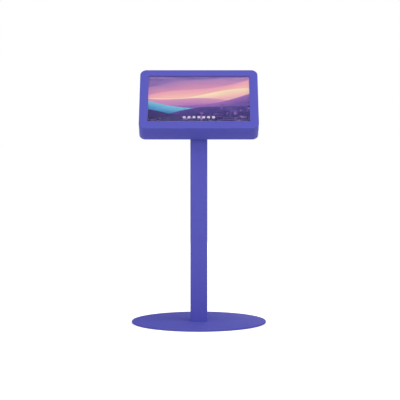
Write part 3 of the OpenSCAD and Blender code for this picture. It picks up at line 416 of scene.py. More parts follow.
    def discs(self, canvas: Canvas, under: Socket) -> Socket:
        """Scatters discs of mixed sizes and tints, closest together in the lower right corner.

        A disc is where the distance to a Voronoi cell's middle is less than that cell's own radius,
        which is a random value of the cell times start + growth across - fall up. Another random
        value sets its tint.

        Args:
            canvas: the canvas.
            under: the colours so far.

        Returns:
            The colours with the discs on them.
        """
        tree = canvas.tree
        square = add(tree, "Mapping", {"Vector": canvas.uv, "Scale": (self.aspect, 1.0, 1.0)})
        grid = {"Vector": square, "Scale": self.disc_scale}
        cells = add(tree, "TexVoronoi", grid, voronoi_dimensions="2D").node.outputs
        chance = add(tree, "SeparateColor", {"Color": cells["Color"]}).node.outputs
        start, growth, fall = self.disc_reach
        radius = ("MULTIPLY_ADD", canvas.across, growth, ("SUBTRACT", start, ("MULTIPLY", canvas.up, fall)))
        within = ("LESS_THAN", cells["Distance"], ("MULTIPLY", chance[0], radius))
        tint = add(tree, "ValToRGB", {0: chance[1]}, stops=dict(self.disc_tints))
        laid = {"Factor": ("MULTIPLY", within, self.disc_cover), A: under, B: tint}
        return add(tree, "Mix", laid, data_type="RGBA")

    def tiles(self, canvas: Canvas, under: Socket) -> Socket:
        """Draws plain tiles in a row, low in the middle of the picture.

        A tile is where the distance to a small inner square is less than the corner radius, in a frame
        that repeats every pitch.

        Args:
            canvas: the canvas.
            under: the colours so far.

        Returns:
            The colours with the tiles on them.
        """
        tree, pitch = canvas.tree, self.tile_pitch
        wide = add(tree, "Math", {0: ("SUBTRACT", canvas.across, 0.5), 1: self.aspect}, operation="MULTIPLY")
        ways = (
            ("SUBTRACT", ("FLOORED_MODULO", ("ADD", wide, pitch / 2), pitch), pitch / 2),
            ("SUBTRACT", canvas.up, self.tile_row),
        )
        past = [("MAXIMUM", ("SUBTRACT", ("ABSOLUTE", way), self.tile_half), 0.0) for way in ways]
        distance = ("SQRT", ("ADD", *(("POWER", way, 2.0) for way in past)))
        low, high = self.tile_corner - self.tile_edge, self.tile_corner + self.tile_edge
        tile = add(tree, "MapRange", {"Value": distance, "From Min": high, "From Max": low})
        near = ("LESS_THAN", ("ABSOLUTE", wide), self.tile_count * pitch / 2)
        cover = ("MULTIPLY", ("MULTIPLY", tile, near), self.tile_cover)
        return add(tree, "Mix", {"Factor": cover, A: under, B: to_linear(self.tile_colour)}, data_type="RGBA")


# What foam and soft rubber share: open pores in a skin that dust makes more and less matt
POROUS = {
    "sway_mm": 12.0, "sway_detail": 2.0, "gloss_swing": (-0.08, 0.05),
    "grain": Texture.CELLS, "relief_depth": 0.25,
}
FINISHES: dict[str, Finish] = {
    # Polyester powder coat on steel: an even satin skin whose melt leaves a faint orange peel
    "powder_coat": Finish(
        "powder_coat_blue_violet", "#5b5bbe", 0.5, specular=0.12, shade="#5959ba", grain_mm=1.6, relief=0.12
    ),
    # Moulded nitrile rubber: matt, slightly dusty
    "black_rubber": Finish(
        "moulded_rubber", "#26262a", 0.8, specular=0.3, grain_mm=1.2, relief=0.15, **POROUS
    ),
    # Closed-cell foam strip: matt, with fine pores along its cut edge
    "black_foam": Finish("cut_foam_strip", "#1c1c20", 0.95, specular=0.2, grain_mm=0.8, relief=0.5, **POROUS),
    # Bright zinc plate on fasteners: cool grey metal with a soft barrel-tumbled gloss
    "zinc_plated_steel": Finish(
        "bright_zinc_plate", "#c3c7cc", 0.34, 1.0, shade="#b4b9c2", sway_mm=9.0, grain_mm=0.5
    ),
    # Nickel plate on turned and die-cast lock parts: warm, mirror-like grey
    "bright_steel": Finish(
        "bright_nickel_plate", "#d2cfc8", 0.16, 1.0, shade="#c9c6c1", sway_mm=6.0, grain_mm=0.4, relief=0.04
    ),
    # Hot-dip galvanised sheet, pressed: grey, in the flat crystals that the zinc froze in
    "galvanised_sheet": Finish(
        "galvanised_sheet_steel", "#9aa0a6", 0.42, 1.0, shade="#b9bec4",
        sway=Texture.CELLS, sway_mm=9.0, relief=0.0,
    ),
    # Moulded ABS with a fine spark-eroded grain: near-black and half matt
    "black_plastic": Finish(
        "grained_black_abs", "#1d1e22", 0.55, shade="#202126", sway_mm=30.0, grain_mm=0.7, relief=0.25
    ),
    # Moulded polycarbonate housing of the sealed supply: a coarser grain, a little glossier
    "supply_plastic": Finish(
        "grained_supply_housing", "#222327", 0.5, shade="#26272c", sway_mm=25.0, grain_mm=0.9, relief=0.3
    ),
    # Rolled steel back of the display panel: plain satin grey
    "display_body": Finish(
        "rolled_display_steel", "#8f949b", 0.38, 1.0, shade="#858b94", sway_mm=40.0, grain_mm=0.6, relief=0.06
    ),
    # Toughened float glass, coated so that it mirrors little of the room: its IOR is the coating's. The
    # faintest smear sways its gloss
    "touch_glass": Finish(
        "coated_touch_glass", "#ffffff", 0.0, ior=1.15, transmission=1.0,
        sway_mm=60.0, sway_detail=4.0, gloss_swing=(0.0, 0.03), relief=0.0,
    ),
    # Satin wet paint on the computer's folded case: even dark grey with a soft sheen
    "pc_paint": Finish(
        "satin_graphite_paint", "#3a3c44", 0.45, shade="#363840", sway_mm=40.0, grain_mm=1.0, relief=0.12
    ),
    # Glass-filled epoxy laminate under solder mask: glossy green with copper showing through
    "circuit_board": BoardFinish("green_circuit_board", "#1f5a3a", 0.32),
    # Moulded pale ABS keycap, polished by fingers on its crown
    "button_plastic": Finish(
        "pale_key_abs", "#c9cad2", 0.4, shade="#bfc1ca", sway_mm=4.0, grain_mm=0.5, relief=0.08
    ),
    # Extruded soft PVC jacket: matt, with a slight drag along it
    "lead_jacket": Finish(
        "soft_pvc_jacket", "#19191c", 0.5, shade="#202024", sway_mm=14.0, grain_mm=0.8, relief=0.15
    ),
}
# The base plate's coat is of the same powder in a coarser texture, which hides scuffs and scatters gloss.
# Its colour is painted lighter than the head's coat: painted light that stands in for the gloss it leaves out
BASE_COAT = Finish(
    "textured_base_powder_coat", "#6060c1", 0.55, specular=0.002, shade="#5e5ebd", grain_mm=2.0, relief=0.2
)
# The picture behind its polariser, and the light slate violet that the panel shows and glows with where
# the lit area ends: a painted reflection of the room in the glass over the panel's border
SCREEN_PICTURE = PictureFinish("lit_display_picture", "#4a4484", 0.4, specular=0.1)
# Pad print on the switch's face: an even white ink film
SWITCH_PRINT = Finish("white_switch_print", "#e8e8ea", 0.5, shade="#dededf", grain_mm=0.3, relief=0.05)
# Tinted acrylic light guide of the supply's small lamp: smooth and glossy
LAMP_LENS = Finish("green_lamp_lens", "#5fd38a", 0.25, shade="#52c47c", grain_mm=0.5, relief=0.03)


# Shapes


@dataclass
class Shape:
    """Points in millimetres, and blocks of faces, each an array of corner numbers."""

    points: Array
    faces: list[Array]

    def moved(self, place: Callable[[Array], Array]) -> "Shape":
        """The same shape with its points sent through a function of the whole array."""
        return Shape(place(self.points), self.faces)

    def repeated(self, places: Array | list) -> "Shape":
        """Copies of the shape, one moved to each place."""
        return copies(np.asarray(places, float)[:, None] + self.points[None], self.faces)


def copies(sets: Array, faces: list[Array]) -> Shape:
    """Puts the faces of one copy on each of several sets of points, copies by points by x, y and z."""
    first = np.arange(len(sets))[:, None, None] * sets.shape[1]
    return Shape(sets.reshape(-1, 3), [(first + block[None]).reshape(-1, block.shape[1]) for block in faces])


def join(*shapes: Shape) -> Shape:
    """Puts shapes into one, without merging them.

    Args:
        *shapes: the shapes to put together.

    Returns:
        One shape whose corner numbers follow on from shape to shape.
    """
    starts = np.cumsum([0] + [len(s.points) for s in shapes])
    faces = [block + start for s, start in zip(shapes, starts) for block in s.faces]
    return Shape(np.concatenate([s.points for s in shapes]), faces)


def skin(rows: Array, closed: bool = False) -> Shape:
    """Skins a stack of rings, each a closed loop of as many points.

    Face (i, j) joins ring i to ring i + 1 and point j to point j + 1, counted round. An open stack
    gets a flat cap on its first and last ring.

    Args:
        rows: rings by points by x, y and z.
        closed: whether the last ring joins the first.

    Returns:
        The closed skin.
    """
    count, around = rows.shape[:2]
    i = np.arange(count if closed else count - 1)[:, None]
    j = np.arange(around)[None]
    after_i, after_j = (i + 1) % count, (j + 1) % around
    corners = [i * around + j, i * around + after_j, after_i * around + after_j, after_i * around + j]
    faces = [np.stack([c.ravel() for c in np.broadcast_arrays(*corners)], axis=1)]
    if not closed:
        ring = np.arange(around)
        faces += [ring[None], (ring + (count - 1) * around)[None]]
    return Shape(rows.reshape(-1, 3), faces)


def rounded_outline(width: float, height: float, radius: float, steps: int = 8) -> Array:
    """Ring of points round a rectangle with round corners, about the origin.

    Corner k is a quarter circle of the radius, turned by k right angles, about a point that lies
    the radius inside both sides.

    Args:
        width: size along the first axis.
        height: size along the second axis.
        radius: radius of the corners.
        steps: stretches in each quarter circle.

    Returns:
        4 * (steps + 1) points of two coordinates.
    """
    angle = np.linspace(0, QUARTER, steps + 1)[None] + np.arange(4)[:, None] * QUARTER
    signs = np.array([[1, 1], [-1, 1], [-1, -1], [1, -1]])
    centre = signs * [width / 2 - radius, height / 2 - radius]
    arc = radius * np.stack([np.cos(angle), np.sin(angle)], axis=-1)
    return (centre[:, None] + arc).reshape(-1, 2)


def edge_round(radius: float, steps: int = 3) -> Array:
    """Rows of inward offset r (1 - sin a) and depth r (1 - cos a), from a face, where a is 0, to a wall."""
    angle = np.linspace(0, QUARTER, steps + 1)
    return radius * np.stack([1 - np.sin(angle), 1 - np.cos(angle)], axis=1)


def far_edge(near: Array, length: float) -> Array:
    """Rows of an edge round mirrored to the far end of a length, from the wall to the face."""
    return near[::-1] * [1, -1] + [0, length]


def carried(width: float, height: float, radius: float, profile: Array, steps: int = 8) -> Array:
    """Carries a profile round a rectangle with round corners.

    Ring k is the rectangle drawn in by the offset of profile row k, at that row's depth.

    Args:
        width: size along the first axis, where the offset is 0.
        height: size along the second axis.
        radius: radius of the corners.
        profile: rows of offset inwards and depth.
        steps: stretches in each corner.

    Returns:
        Rings of points, with the depth as third coordinate.
    """
    least = 0.01
    rings = []
    for offset, depth in profile:
        ring = rounded_outline(width - 2 * offset, height - 2 * offset, max(radius - offset, least), steps)
        rings.append(np.column_stack([ring, np.full(len(ring), depth)]))
    return np.stack(rings)


def block(width: float, height: float, radius: float, length: float, edge: float, steps: int = 8) -> Shape:
    """A block with round corners and rounded edges, from depth 0 to its length."""
    near = edge_round(edge)
    return skin(carried(width, height, radius, np.concatenate([near, far_edge(near, length)]), steps))


def lathe(profile: Array | list, steps: int = 48, closed: bool = False) -> Shape:
    """Turns a profile about the third axis.

    Point (k, a) is (r cos a, r sin a, h) for profile row (r, h).

    Args:
        profile: rows of radius and height.
        steps: stretches round the axis.
        closed: whether the profile's last row joins its first, as on a ring.

    Returns:
        The turned skin, with a flat cap on each open end.
    """
    angle = np.linspace(0, 2 * np.pi, steps, endpoint=False)
    turn = np.stack([np.cos(angle), np.sin(angle)], axis=1)
    profile = np.asarray(profile, float)
    rows = np.empty((len(profile), steps, 3))
    rows[..., :2] = profile[:, None, :1] * turn[None]
    rows[..., 2] = profile[:, None, 1]
    return skin(rows, closed)


def smooth_route(points: Array, steps: int = 8) -> Array:
    """Curve through chosen points.

    On each stretch from b to c, with a before and d after, it is
    b + (c - a) t / 2 + (2a - 5b + 4c - d) t^2 / 2 + (3b - a - 3c + d) t^3 / 2.

    Args:
        points: the points that the curve passes through.
        steps: pieces of each stretch.

    Returns:
        The points along the curve.
    """
    p = np.asarray(points, float)
    padded = np.concatenate([2 * p[:1] - p[1:2], p, 2 * p[-1:] - p[-2:-1]])
    a, b, c, d = (padded[k : k + len(p) - 1, None] for k in range(4))
    t = (np.arange(steps) / steps)[None, :, None]
    curve = b + (c - a) * t / 2 + (2 * a - 5 * b + 4 * c - d) * t**2 / 2 + (3 * b - a - 3 * c + d) * t**3 / 2
    return np.concatenate([curve.reshape(-1, 3), p[-1:]])


def tube(points: Array, radius: float, aside: tuple[float, float, float], sides: int) -> Shape:
    """Round tube along a line of points.

    Ring i lies across the heading h of the line, on s = unit(h x aside) and h x s.

    Args:
        points: the line's points.
        radius: the tube's radius.
        aside: a direction that the line never takes.
        sides: points round the tube.

    Returns:
        The tube with flat ends.
    """
    heading = np.gradient(points, axis=0)
    heading[0], heading[-1] = points[1] - points[0], points[-1] - points[-2]
    heading /= np.linalg.norm(heading, axis=1, keepdims=True)
    side = np.cross(heading, aside)
    side /= np.linalg.norm(side, axis=1, keepdims=True)
    other = np.cross(heading, side)
    angle = np.linspace(0, 2 * np.pi, sides, endpoint=False)[None, :, None]
    return skin(points[:, None] + radius * (np.cos(angle) * side[:, None] + np.sin(angle) * other[:, None]))


@dataclass(frozen=True)
class HeadFrame:
    """The head's own axes: x across, u up the face and d straight back from it."""

    origin: Array
    up: Array
    back: Array

    @classmethod
    def from_joints(cls, joints: list[dict], lock_u: float = 293.0, lock_d: float = 85.0) -> "HeadFrame":
        """Works the axes out from the lock's joint, whose axis is the face's outward normal.

        Args:
            joints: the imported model's joints.
            lock_u: the lock's height up the face.
            lock_d: its depth behind the face.

        Returns:
            The head's frame, in millimetres.
        """
        lock = next(joint for joint in joints if joint["name"] == "lock_turn")
        back = -np.array(lock["axis"], float)
        back /= np.linalg.norm(back)
        up = np.cross([1.0, 0.0, 0.0], back)
        return cls(np.array(lock["pos_m"]) / MM - lock_u * up - lock_d * back, up, back)

    def place(self, local: Array | list) -> Array:
        """Sends points given by x, u and d to the part's own frame."""
        return self.origin + np.asarray(local, float) @ np.array([[1.0, 0.0, 0.0], self.up, self.back])

    def at(self, x: float, u: float, d: float = 0.0) -> Callable[[Array], Array]:
        """A function that sets points down about one place of the head."""
        return lambda points: self.place(points + np.array([x, u, d]))


HEAD = HeadFrame.from_joints(frame["joints"])


# Pieces


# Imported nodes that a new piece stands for
REMADE: set[str] = set()


def link(name: str, data: bpy.types.ID) -> Piece:
    """Makes an object of a mesh, lamp or camera and puts it into the scene.

    Args:
        name: the object's name.
        data: what it shows.

    Returns:
        The object, at the origin.
    """
    made = bpy.data.objects.new(name, data)
    bpy.context.scene.collection.objects.link(made)
    return made


def settle(mesh: bpy.types.Mesh, sharp_degrees: float, outwards: bool) -> None:
    """Merges doubles, turns faces outwards if asked, and shades the mesh smooth up to an angle.

    Args:
        mesh: the mesh to settle.
        sharp_degrees: edges that bend more than this stay sharp.
        outwards: whether to work the faces' directions out anew.
    """
    least_mm, flat_degrees = 0.002, 0.5
    work = bmesh.new()
    work.from_mesh(mesh)
    bmesh.ops.remove_doubles(work, verts=work.verts, dist=least_mm * MM)
    if outwards:
        bmesh.ops.recalc_face_normals(work, faces=work.faces)
    else:
        flat = math.radians(flat_degrees)
        bmesh.ops.dissolve_limit(
            work, angle_limit=flat, verts=work.verts, edges=work.edges, delimit={"NORMAL"}
        )
    work.to_mesh(mesh)
    work.free()
    mesh.shade_smooth()
    mesh.set_sharp_from_angle(angle=math.radians(sharp_degrees))


def as_mesh(name: str, shape: Shape, sharp_degrees: float = SHARP_DEGREES) -> bpy.types.Mesh:
    """Makes a mesh of a shape.

    Args:
        name: the mesh's name.
        shape: its points and faces, in the part's own frame.
        sharp_degrees: edges that bend more than this stay sharp.

    Returns:
        The mesh, in metres.
    """
    mesh = bpy.data.meshes.new(name)
    mesh.from_pydata((shape.points * MM).tolist(), [], [f for b in shape.faces for f in b.tolist()])
    settle(mesh, sharp_degrees, outwards=True)
    return mesh


def show(
    mesh: bpy.types.Mesh,
    slot: str,
    body: Body = Body.STAND,
    replaces: tuple[str, ...] = (),
    finish: Finish | None = None,
) -> Piece:
    """Makes a piece of a mesh and puts it on its body.

    Args:
        mesh: the piece's mesh, which also has its name.
        slot: the material slot that it takes its finish from.
        body: the body that it rides on.
        replaces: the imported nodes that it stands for.
        finish: its finish, where that isn't the slot's own.

    Returns:
        The piece.
    """
    piece = link(mesh.name, mesh)
    mesh.materials.append((finish or FINISHES[slot]).material())
    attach(piece, body.value)
    if replaces:
        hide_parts(*replaces)
        REMADE.update(replaces)
    LOG.info("%s: %d faces on %s", piece.name, len(mesh.polygons), body.value)
    return piece


@dataclass
class Base:
    """Round base plate with countersunk holes for the post's foot screws."""

    diameter: float = 636.0
    top: float = 8.0
    bottom: float = 2.0
    edge: float = 0.8
    middle_r: float = 120.0
    hole_pitch: float = 44.0
    screw: float = 8.0
    play: float = 0.3
    below: float = 0.1
    above: float = 1.0

    def make(self) -> None:
        """Turns the plate and cuts its four countersunk holes."""
        edge = edge_round(self.edge, steps=4)
        low = edge * [-1, 1] + [self.diameter / 2, self.bottom]
        high = edge[::-1] * -1 + [self.diameter / 2, self.top]
        middle = [[[self.middle_r, z]] for z in (self.bottom, self.top)]
        profile = np.concatenate([middle[0], low, high, middle[1]])
        mesh = as_mesh("base_plate_turned", lathe(profile, steps=240))
        # The plate's coat is painted lighter than the head's of the same powder: painted light
        plate = show(mesh, "powder_coat", replaces=("base_plate",), finish=BASE_COAT)
        hole = self.screw / 2 + self.play
        sink = [
            [self.screw + self.play, self.bottom - self.below],
            [hole, self.bottom + self.screw / 2],
            [hole, self.top + self.above],
        ]
        corner = self.hole_pitch / 2
        places = [[x, y, 0.0] for x in (-corner, corner) for y in (-corner, corner)]
        cutters = link("hole_cutters", as_mesh("hole_cutters", lathe(sink, steps=32).repeated(places)))
        cut = plate.modifiers.new("holes", "BOOLEAN")
        cut.object, cut.solver = cutters, "EXACT"
        bpy.context.view_layer.update()
        result = plate.evaluated_get(bpy.context.evaluated_depsgraph_get())
        cut_mesh = bpy.data.meshes.new_from_object(result)
        plate.modifiers.clear()
        plate.data = cut_mesh
        bpy.data.objects.remove(cutters)
        cut_mesh.set_sharp_from_angle(angle=math.radians(SHARP_DEGREES))


@dataclass
class Post:
    """Square tube with round corners, cut to the head's slant, and the weld that joins it to its plate."""

    width: float = 80.0
    wall: float = 3.0
    radius: float = 6.0
    foot: float = 8.0
    foot_edge: float = 0.5
    plate_d: float = 93.0
    inlet_z: float = 90.0
    window_w: float = 27.6
    window_h: float = 46.6
    bead: float = 4.5
    bead_pitch: float = 3.4
    bead_ripple: float = 0.22
    bead_drift: float = 0.3
    drift_l: float = 47.0
    bead_points: int = 480

    def make(self) -> None:
        """Makes the tube and its weld bead."""
        show(as_mesh("post_tube_skin", self.tube()), "powder_coat", replaces=("post_tube",))
        show(as_mesh("post_weld_bead", self.weld(), sharp_degrees=60.0), "powder_coat")

    def slant(self, y: Array) -> Array:
        """Height, at y, of the slanted plate's underside, the plane where depth d is the plate's."""
        return HEAD.origin[2] + (self.plate_d - (y - HEAD.origin[1]) * HEAD.back[1]) / HEAD.back[2]

    def ring(self, offset: float, height: float | None) -> Array:
        """One ring of the tube's wall, with two points that mark the inlet's window on its rear side.

        Args:
            offset: distance inside the tube's outer surface.
            height: the ring's height, or None for the slanted top.

        Returns:
            The ring's points.
        """
        size = self.width - 2 * offset
        outline = rounded_outline(size, size, self.radius - offset)
        window = np.array([[self.window_w / 2, size / 2], [-self.window_w / 2, size / 2]])
        corner = len(outline) // 4
        x, y = np.concatenate([outline[:corner], window, outline[corner:]]).T
        return np.column_stack([x, y, self.slant(y) if height is None else np.full(len(x), height)])

    def tube(self) -> Shape:
        """Skins the tube outside and inside, and opens the inlet's window.

        Returns:
            The tube.
        """
        low, high = self.inlet_z - self.window_h / 2, self.inlet_z + self.window_h / 2
        outside = [self.ring(self.foot_edge, self.foot)]
        outside += [self.ring(0, z) for z in (self.foot + self.foot_edge, low, high, None)]
        inside = [self.ring(self.wall, z) for z in (None, high, low, self.foot)]
        rows = np.stack(outside + inside)
        shape = skin(rows, closed=True)
        around = rows.shape[1]
        # First corner of the window's rings outside and inside, and how far round its two sides lie
        outer_low, outer_high, inner_high, inner_low = (k * around for k in (2, 3, 6, 7))
        sides = left, right = (around - 2) // 4, (around - 2) // 4 + 1
        keep = ~np.isin(np.arange(len(shape.faces[0])), [outer_low + left, inner_high + left])
        ends = ((outer_low, inner_low), (outer_high, inner_high))
        walls = [[a + left, a + right, b + right, b + left] for a, b in ends]
        walls += [[outer_low + k, outer_high + k, inner_high + k, inner_low + k] for k in sides]
        return Shape(shape.points, [shape.faces[0][keep], np.array(walls)])

    def weld(self) -> Shape:
        """Lays the weld bead in the corner between the tube and the slanted plate.

        At each point of the tube's outline the bead's surface is root + leg (cos a e1 + sin a e2) for
        a from 0 to a right angle, where e1 runs out along the plate and e2 down the tube. The leg
        swells and shrinks along the path as the melt did.

        Returns:
            The bead.
        """
        outline = rounded_outline(self.width, self.width, self.radius, steps=12)
        closed = np.concatenate([outline, outline[:1]])
        lengths = np.concatenate([[0], np.cumsum(np.linalg.norm(np.diff(closed, axis=0), axis=1))])
        along = np.linspace(0, lengths[-1], self.bead_points, endpoint=False)
        x, y = (np.interp(along, lengths, closed[:, k]) for k in (0, 1))
        root = np.column_stack([x, y, self.slant(y)])
        tangent = np.roll(root, -1, axis=0) - np.roll(root, 1, axis=0)
        outward = np.column_stack([tangent[:, 1], -tangent[:, 0], 0 * x])
        outward /= np.linalg.norm(outward, axis=1, keepdims=True)
        along_plate = outward - (outward @ HEAD.back)[:, None] * HEAD.back
        along_plate /= np.linalg.norm(along_plate, axis=1, keepdims=True)
        ripple = self.bead_ripple * np.sin(2 * np.pi * along / self.bead_pitch)
        leg = self.bead + ripple + self.bead_drift * np.sin(along / self.drift_l)
        angle = np.linspace(0, QUARTER, num=6)[:, None, None]
        arc = np.cos(angle) * along_plate + np.sin(angle) * np.array([0, 0, -1.0])
        return skin(np.concatenate([root[None], root[None] + leg[None, :, None] * arc]), closed=True)


@dataclass
class HeadShell:
    """Folded and welded shell of the head, with its screen opening, rear flange, inserts and studs."""

    width: float = 558.0
    height: float = 353.0
    depth: float = 85.0
    radius: float = 30.0
    sheet: float = 2.0
    bend: float = 2.2
    edge: float = 0.3
    opening: tuple[float, float] = (480.0, 275.0)
    opening_r: float = 3.0
    opening_u: float = 179.0
    flange: float = 16.0
    flange_d: tuple[float, float] = (80.0, 82.0)
    side_u: float = 60.0
    edge_x: float = 150.0
    insert_r: float = 4.0
    insert_l: float = 10.0
    insert_raised: float = 0.5
    insert_edge: float = 0.4
    insert_hole: float = 2.5
    stud_x: float = 264.0
    stud_step: float = 100.0
    stud_sunk: float = 0.2
    shoulder_d: float = 10.5
    stud_l: float = 6.5
    thread_r: float = 2.0
    thread_edge: float = 0.5

    def make(self) -> None:
        """Makes the shell, with what is welded and pressed into it, as one piece."""
        shape = join(self.shell(), self.inserts(), self.studs()).moved(HEAD.place)
        show(as_mesh("head_shell_folded", shape), "powder_coat", replaces=("head_shell",))

    def shell(self) -> Shape:
        """Carries the shell's section round the head.

        The section runs from the face's bend down the wall, round the flange and back inside, and
        closes over the back of the face to the opening.

        Returns:
            The shell about the middle of its lower edge.
        """
        near, far = self.flange_d
        small, sheet, inner = self.edge, self.sheet, self.sheet + self.flange
        rest = [
            [sheet - small, self.depth], [sheet, self.depth - small], [sheet, far],
            [inner - small, far], [inner, far - small], [inner, near + small], [inner - small, near],
            [sheet, near], [sheet, sheet + small], [sheet + small, sheet],
        ]
        edge = edge_round(small, steps=2)
        profile = np.concatenate([edge_round(self.bend, steps=6), far_edge(edge, self.depth), rest])
        rows = carried(self.width, self.height, self.radius, profile, steps=12)
        rows[..., 1] += self.height / 2
        lip = np.concatenate([[[0.0, sheet]], edge[::-1] * [-1, 1]])
        edge = carried(*self.opening, self.opening_r, lip, steps=12)
        edge[..., 1] += self.opening_u
        return skin(np.concatenate([rows, edge]), closed=True)

    def inserts(self) -> Shape:
        """Turns the threaded inserts in the flange, for the back panel's screws.

        Returns:
            The eight inserts.
        """
        near, _ = self.flange_d
        start, end = near - self.insert_l, near + self.insert_raised
        hole, radius, edge = self.insert_hole, self.insert_r, self.insert_edge
        profile = [[hole, start], [radius - edge, start], [radius, start + edge], [radius, end], [hole, end]]
        rim = self.sheet + self.flange / 2
        side = self.width / 2 - rim
        places = [[x, u, 0.0] for x in (-side, side) for u in (self.side_u, self.height - self.side_u)]
        places += [[x, u, 0.0] for x in (-self.edge_x, self.edge_x) for u in (rim, self.height - rim)]
        return lathe(profile, steps=32, closed=True).repeated(places)

    def studs(self) -> Shape:
        """Turns the shouldered studs behind the face, for the display's brackets.

        Returns:
            The six studs.
        """
        foot, radius = self.sheet - self.stud_sunk, self.insert_r
        thread, small = self.thread_r, self.thread_edge
        shoulder, tip = self.shoulder_d, self.shoulder_d + self.stud_l
        profile = [
            [radius, foot], [radius, shoulder - self.edge], [radius - self.edge, shoulder],
            [thread, shoulder], [thread, tip - small], [thread - small, tip],
        ]
        rows = [self.opening_u + k * self.stud_step for k in (-1, 0, 1)]
        places = [[x, u, 0.0] for x in (-self.stud_x, self.stud_x) for u in rows]
        return lathe(profile, steps=24).repeated(places)


@dataclass
class LcdPanel:
    """The glass in front and the display panel behind it, whose front carries the lit picture."""

    UV_NAME = "picture_area"
    centre_u: float = 179.0
    glass: tuple[float, float, float] = (500.0, 295.0, 3.0)
    glass_r: float = 4.0
    panel: tuple[float, float, float] = (496.0, 291.0, 10.0)
    panel_r: float = 2.0
    edge: float = 0.3
    glass_d: float = 5.0
    gap: float = 0.12
    lit: tuple[float, float] = (476.06, 267.79)
    lit_raised: float = 4.0

    def make(self) -> None:
        """Makes the touch glass, its edges ground round, and the lit panel a gap behind it."""
        pane = self.slab(self.glass, self.glass_r, self.glass_d)
        show(as_mesh("touch_glass_pane", pane), "touch_glass", replaces=("touch_glass",))
        panel = self.slab(self.panel, self.panel_r, self.glass_d + self.glass[2] + self.gap)
        self.light(show(as_mesh("display_panel_lit", panel), "display_body", replaces=("lcd_panel",)).data)

    def slab(self, size: tuple[float, float, float], radius: float, near: float) -> Shape:
        """A flat block about the screen's middle, thinner than its size by the gap, from depth near."""
        slab = block(size[0], size[1], radius, size[2] - self.gap, self.edge)
        return slab.moved(HEAD.at(0, self.centre_u, near))

    def light(self, mesh: bpy.types.Mesh) -> None:
        """Puts the picture on the panel's front, with a UV map of its own.

        A point of the front at x and u maps to (x / width + 1/2, (u - centre) / height + 1/2) of the
        lit area, which sits high in the panel, because the panel's electronics are under its foot.

        Args:
            mesh: the panel's mesh.
        """
        mesh.materials.append(SCREEN_PICTURE.material())
        straight_on = 0.999
        normals = np.array([face.normal for face in mesh.polygons])
        mesh.polygons.foreach_set("material_index", (normals @ -HEAD.back > straight_on).astype(np.int32))
        points = np.empty(len(mesh.vertices) * 3)
        mesh.vertices.foreach_get("co", points)
        corners = np.empty(len(mesh.loops), np.int32)
        mesh.loops.foreach_get("vertex_index", corners)
        local = points.reshape(-1, 3)[corners] / MM - HEAD.origin
        u = local @ HEAD.up - self.centre_u - self.lit_raised
        uv = np.column_stack([local[:, 0] / self.lit[0], u / self.lit[1]]) + 0.5
        mesh.uv_layers.new(name=self.UV_NAME).data.foreach_set("uv", uv.ravel())
        mesh.update()


@dataclass
class InletSwitch:
    """Rocker of the power inlet, with the usual bar and ring printed on its face."""

    pivot: tuple[float, float, float] = (0.0, 39.0, 100.8)
    width: float = 13.2
    half: float = 8.6
    face: float = 2.8
    dish: float = 1.7
    edge: float = 0.4
    swing: float = 20.0
    back: tuple[tuple[float, float], ...] = ((-3.0, 7.5), (-5.0, 0.0), (-3.0, -7.5))
    pin: tuple[float, float] = (1.5, 8.4)
    mark_z: float = 5.0
    bar: tuple[float, float, float] = (0.9, 3.4, 0.3)
    ring: tuple[float, float] = (1.3, 1.9)
    ink: float = 0.12
    ink_edge: float = 0.04

    def turned(self, points: Array) -> Array:
        """Tips points about the pivot to their place, with the rocker's upper end pressed in.

        Args:
            points: points about the pivot, with the rocker level.

        Returns:
            The points in the part's own frame.
        """
        a = math.radians(self.swing / 2)
        turn = np.array([[1, 0, 0], [0, math.cos(a), math.sin(a)], [0, -math.sin(a), math.cos(a)]])
        return points @ turn + self.pivot

    def make(self) -> None:
        """Makes the rocker and its print.

        The face's profile is y = face + dish (z / half)^2, closed behind by two chamfered flanks, and
        it is carried across x with small rounds at both sides. The prints lie on that curve.
        """
        z = np.linspace(-self.half, self.half, num=13)
        front = np.column_stack([self.face + self.dish * (z / self.half) ** 2, z])
        outline = np.concatenate([front, self.back])
        near = edge_round(self.edge)
        sides = np.concatenate([near, far_edge(near, self.width)])
        rows = np.empty((len(sides), len(outline), 3))
        rows[..., 0] = sides[:, 1, None] - self.width / 2
        rows[..., 1:] = outline[None] * (1 - sides[:, 0] / self.half)[:, None, None]
        radius, reach = self.pin
        pin = lathe([[radius, -reach], [radius, reach]], steps=24).moved(lambda points: points[:, [2, 0, 1]])
        mesh = as_mesh("inlet_rocker", join(skin(rows), pin).moved(self.turned))
        show(mesh, "black_plastic", Body.INLET_SWITCH, ("power_switch",))
        inner, outer = self.ring
        section = [[inner, 0.0], [outer, 0.0], [outer, self.ink], [inner, self.ink]]
        bar = block(*self.bar, self.ink, self.ink_edge, steps=3)
        ring = lathe(section, steps=32, closed=True)
        height = self.face + self.dish * (self.mark_z / self.half) ** 2
        prints = (("switch_bar_print", bar, self.mark_z), ("switch_ring_print", ring, -self.mark_z))
        for name, mark, z in prints:
            lean = math.atan(2 * self.dish * z / self.half**2)
            across, along = math.sin(lean), math.cos(lean)
            lay = np.array([[1, 0, 0], [0, across, along], [0, along, -across]])
            mesh = as_mesh(name, Shape(self.turned(mark.points @ lay + [0, height, z]), mark.faces))
            show(mesh, "button_plastic", Body.INLET_SWITCH, finish=SWITCH_PRINT)


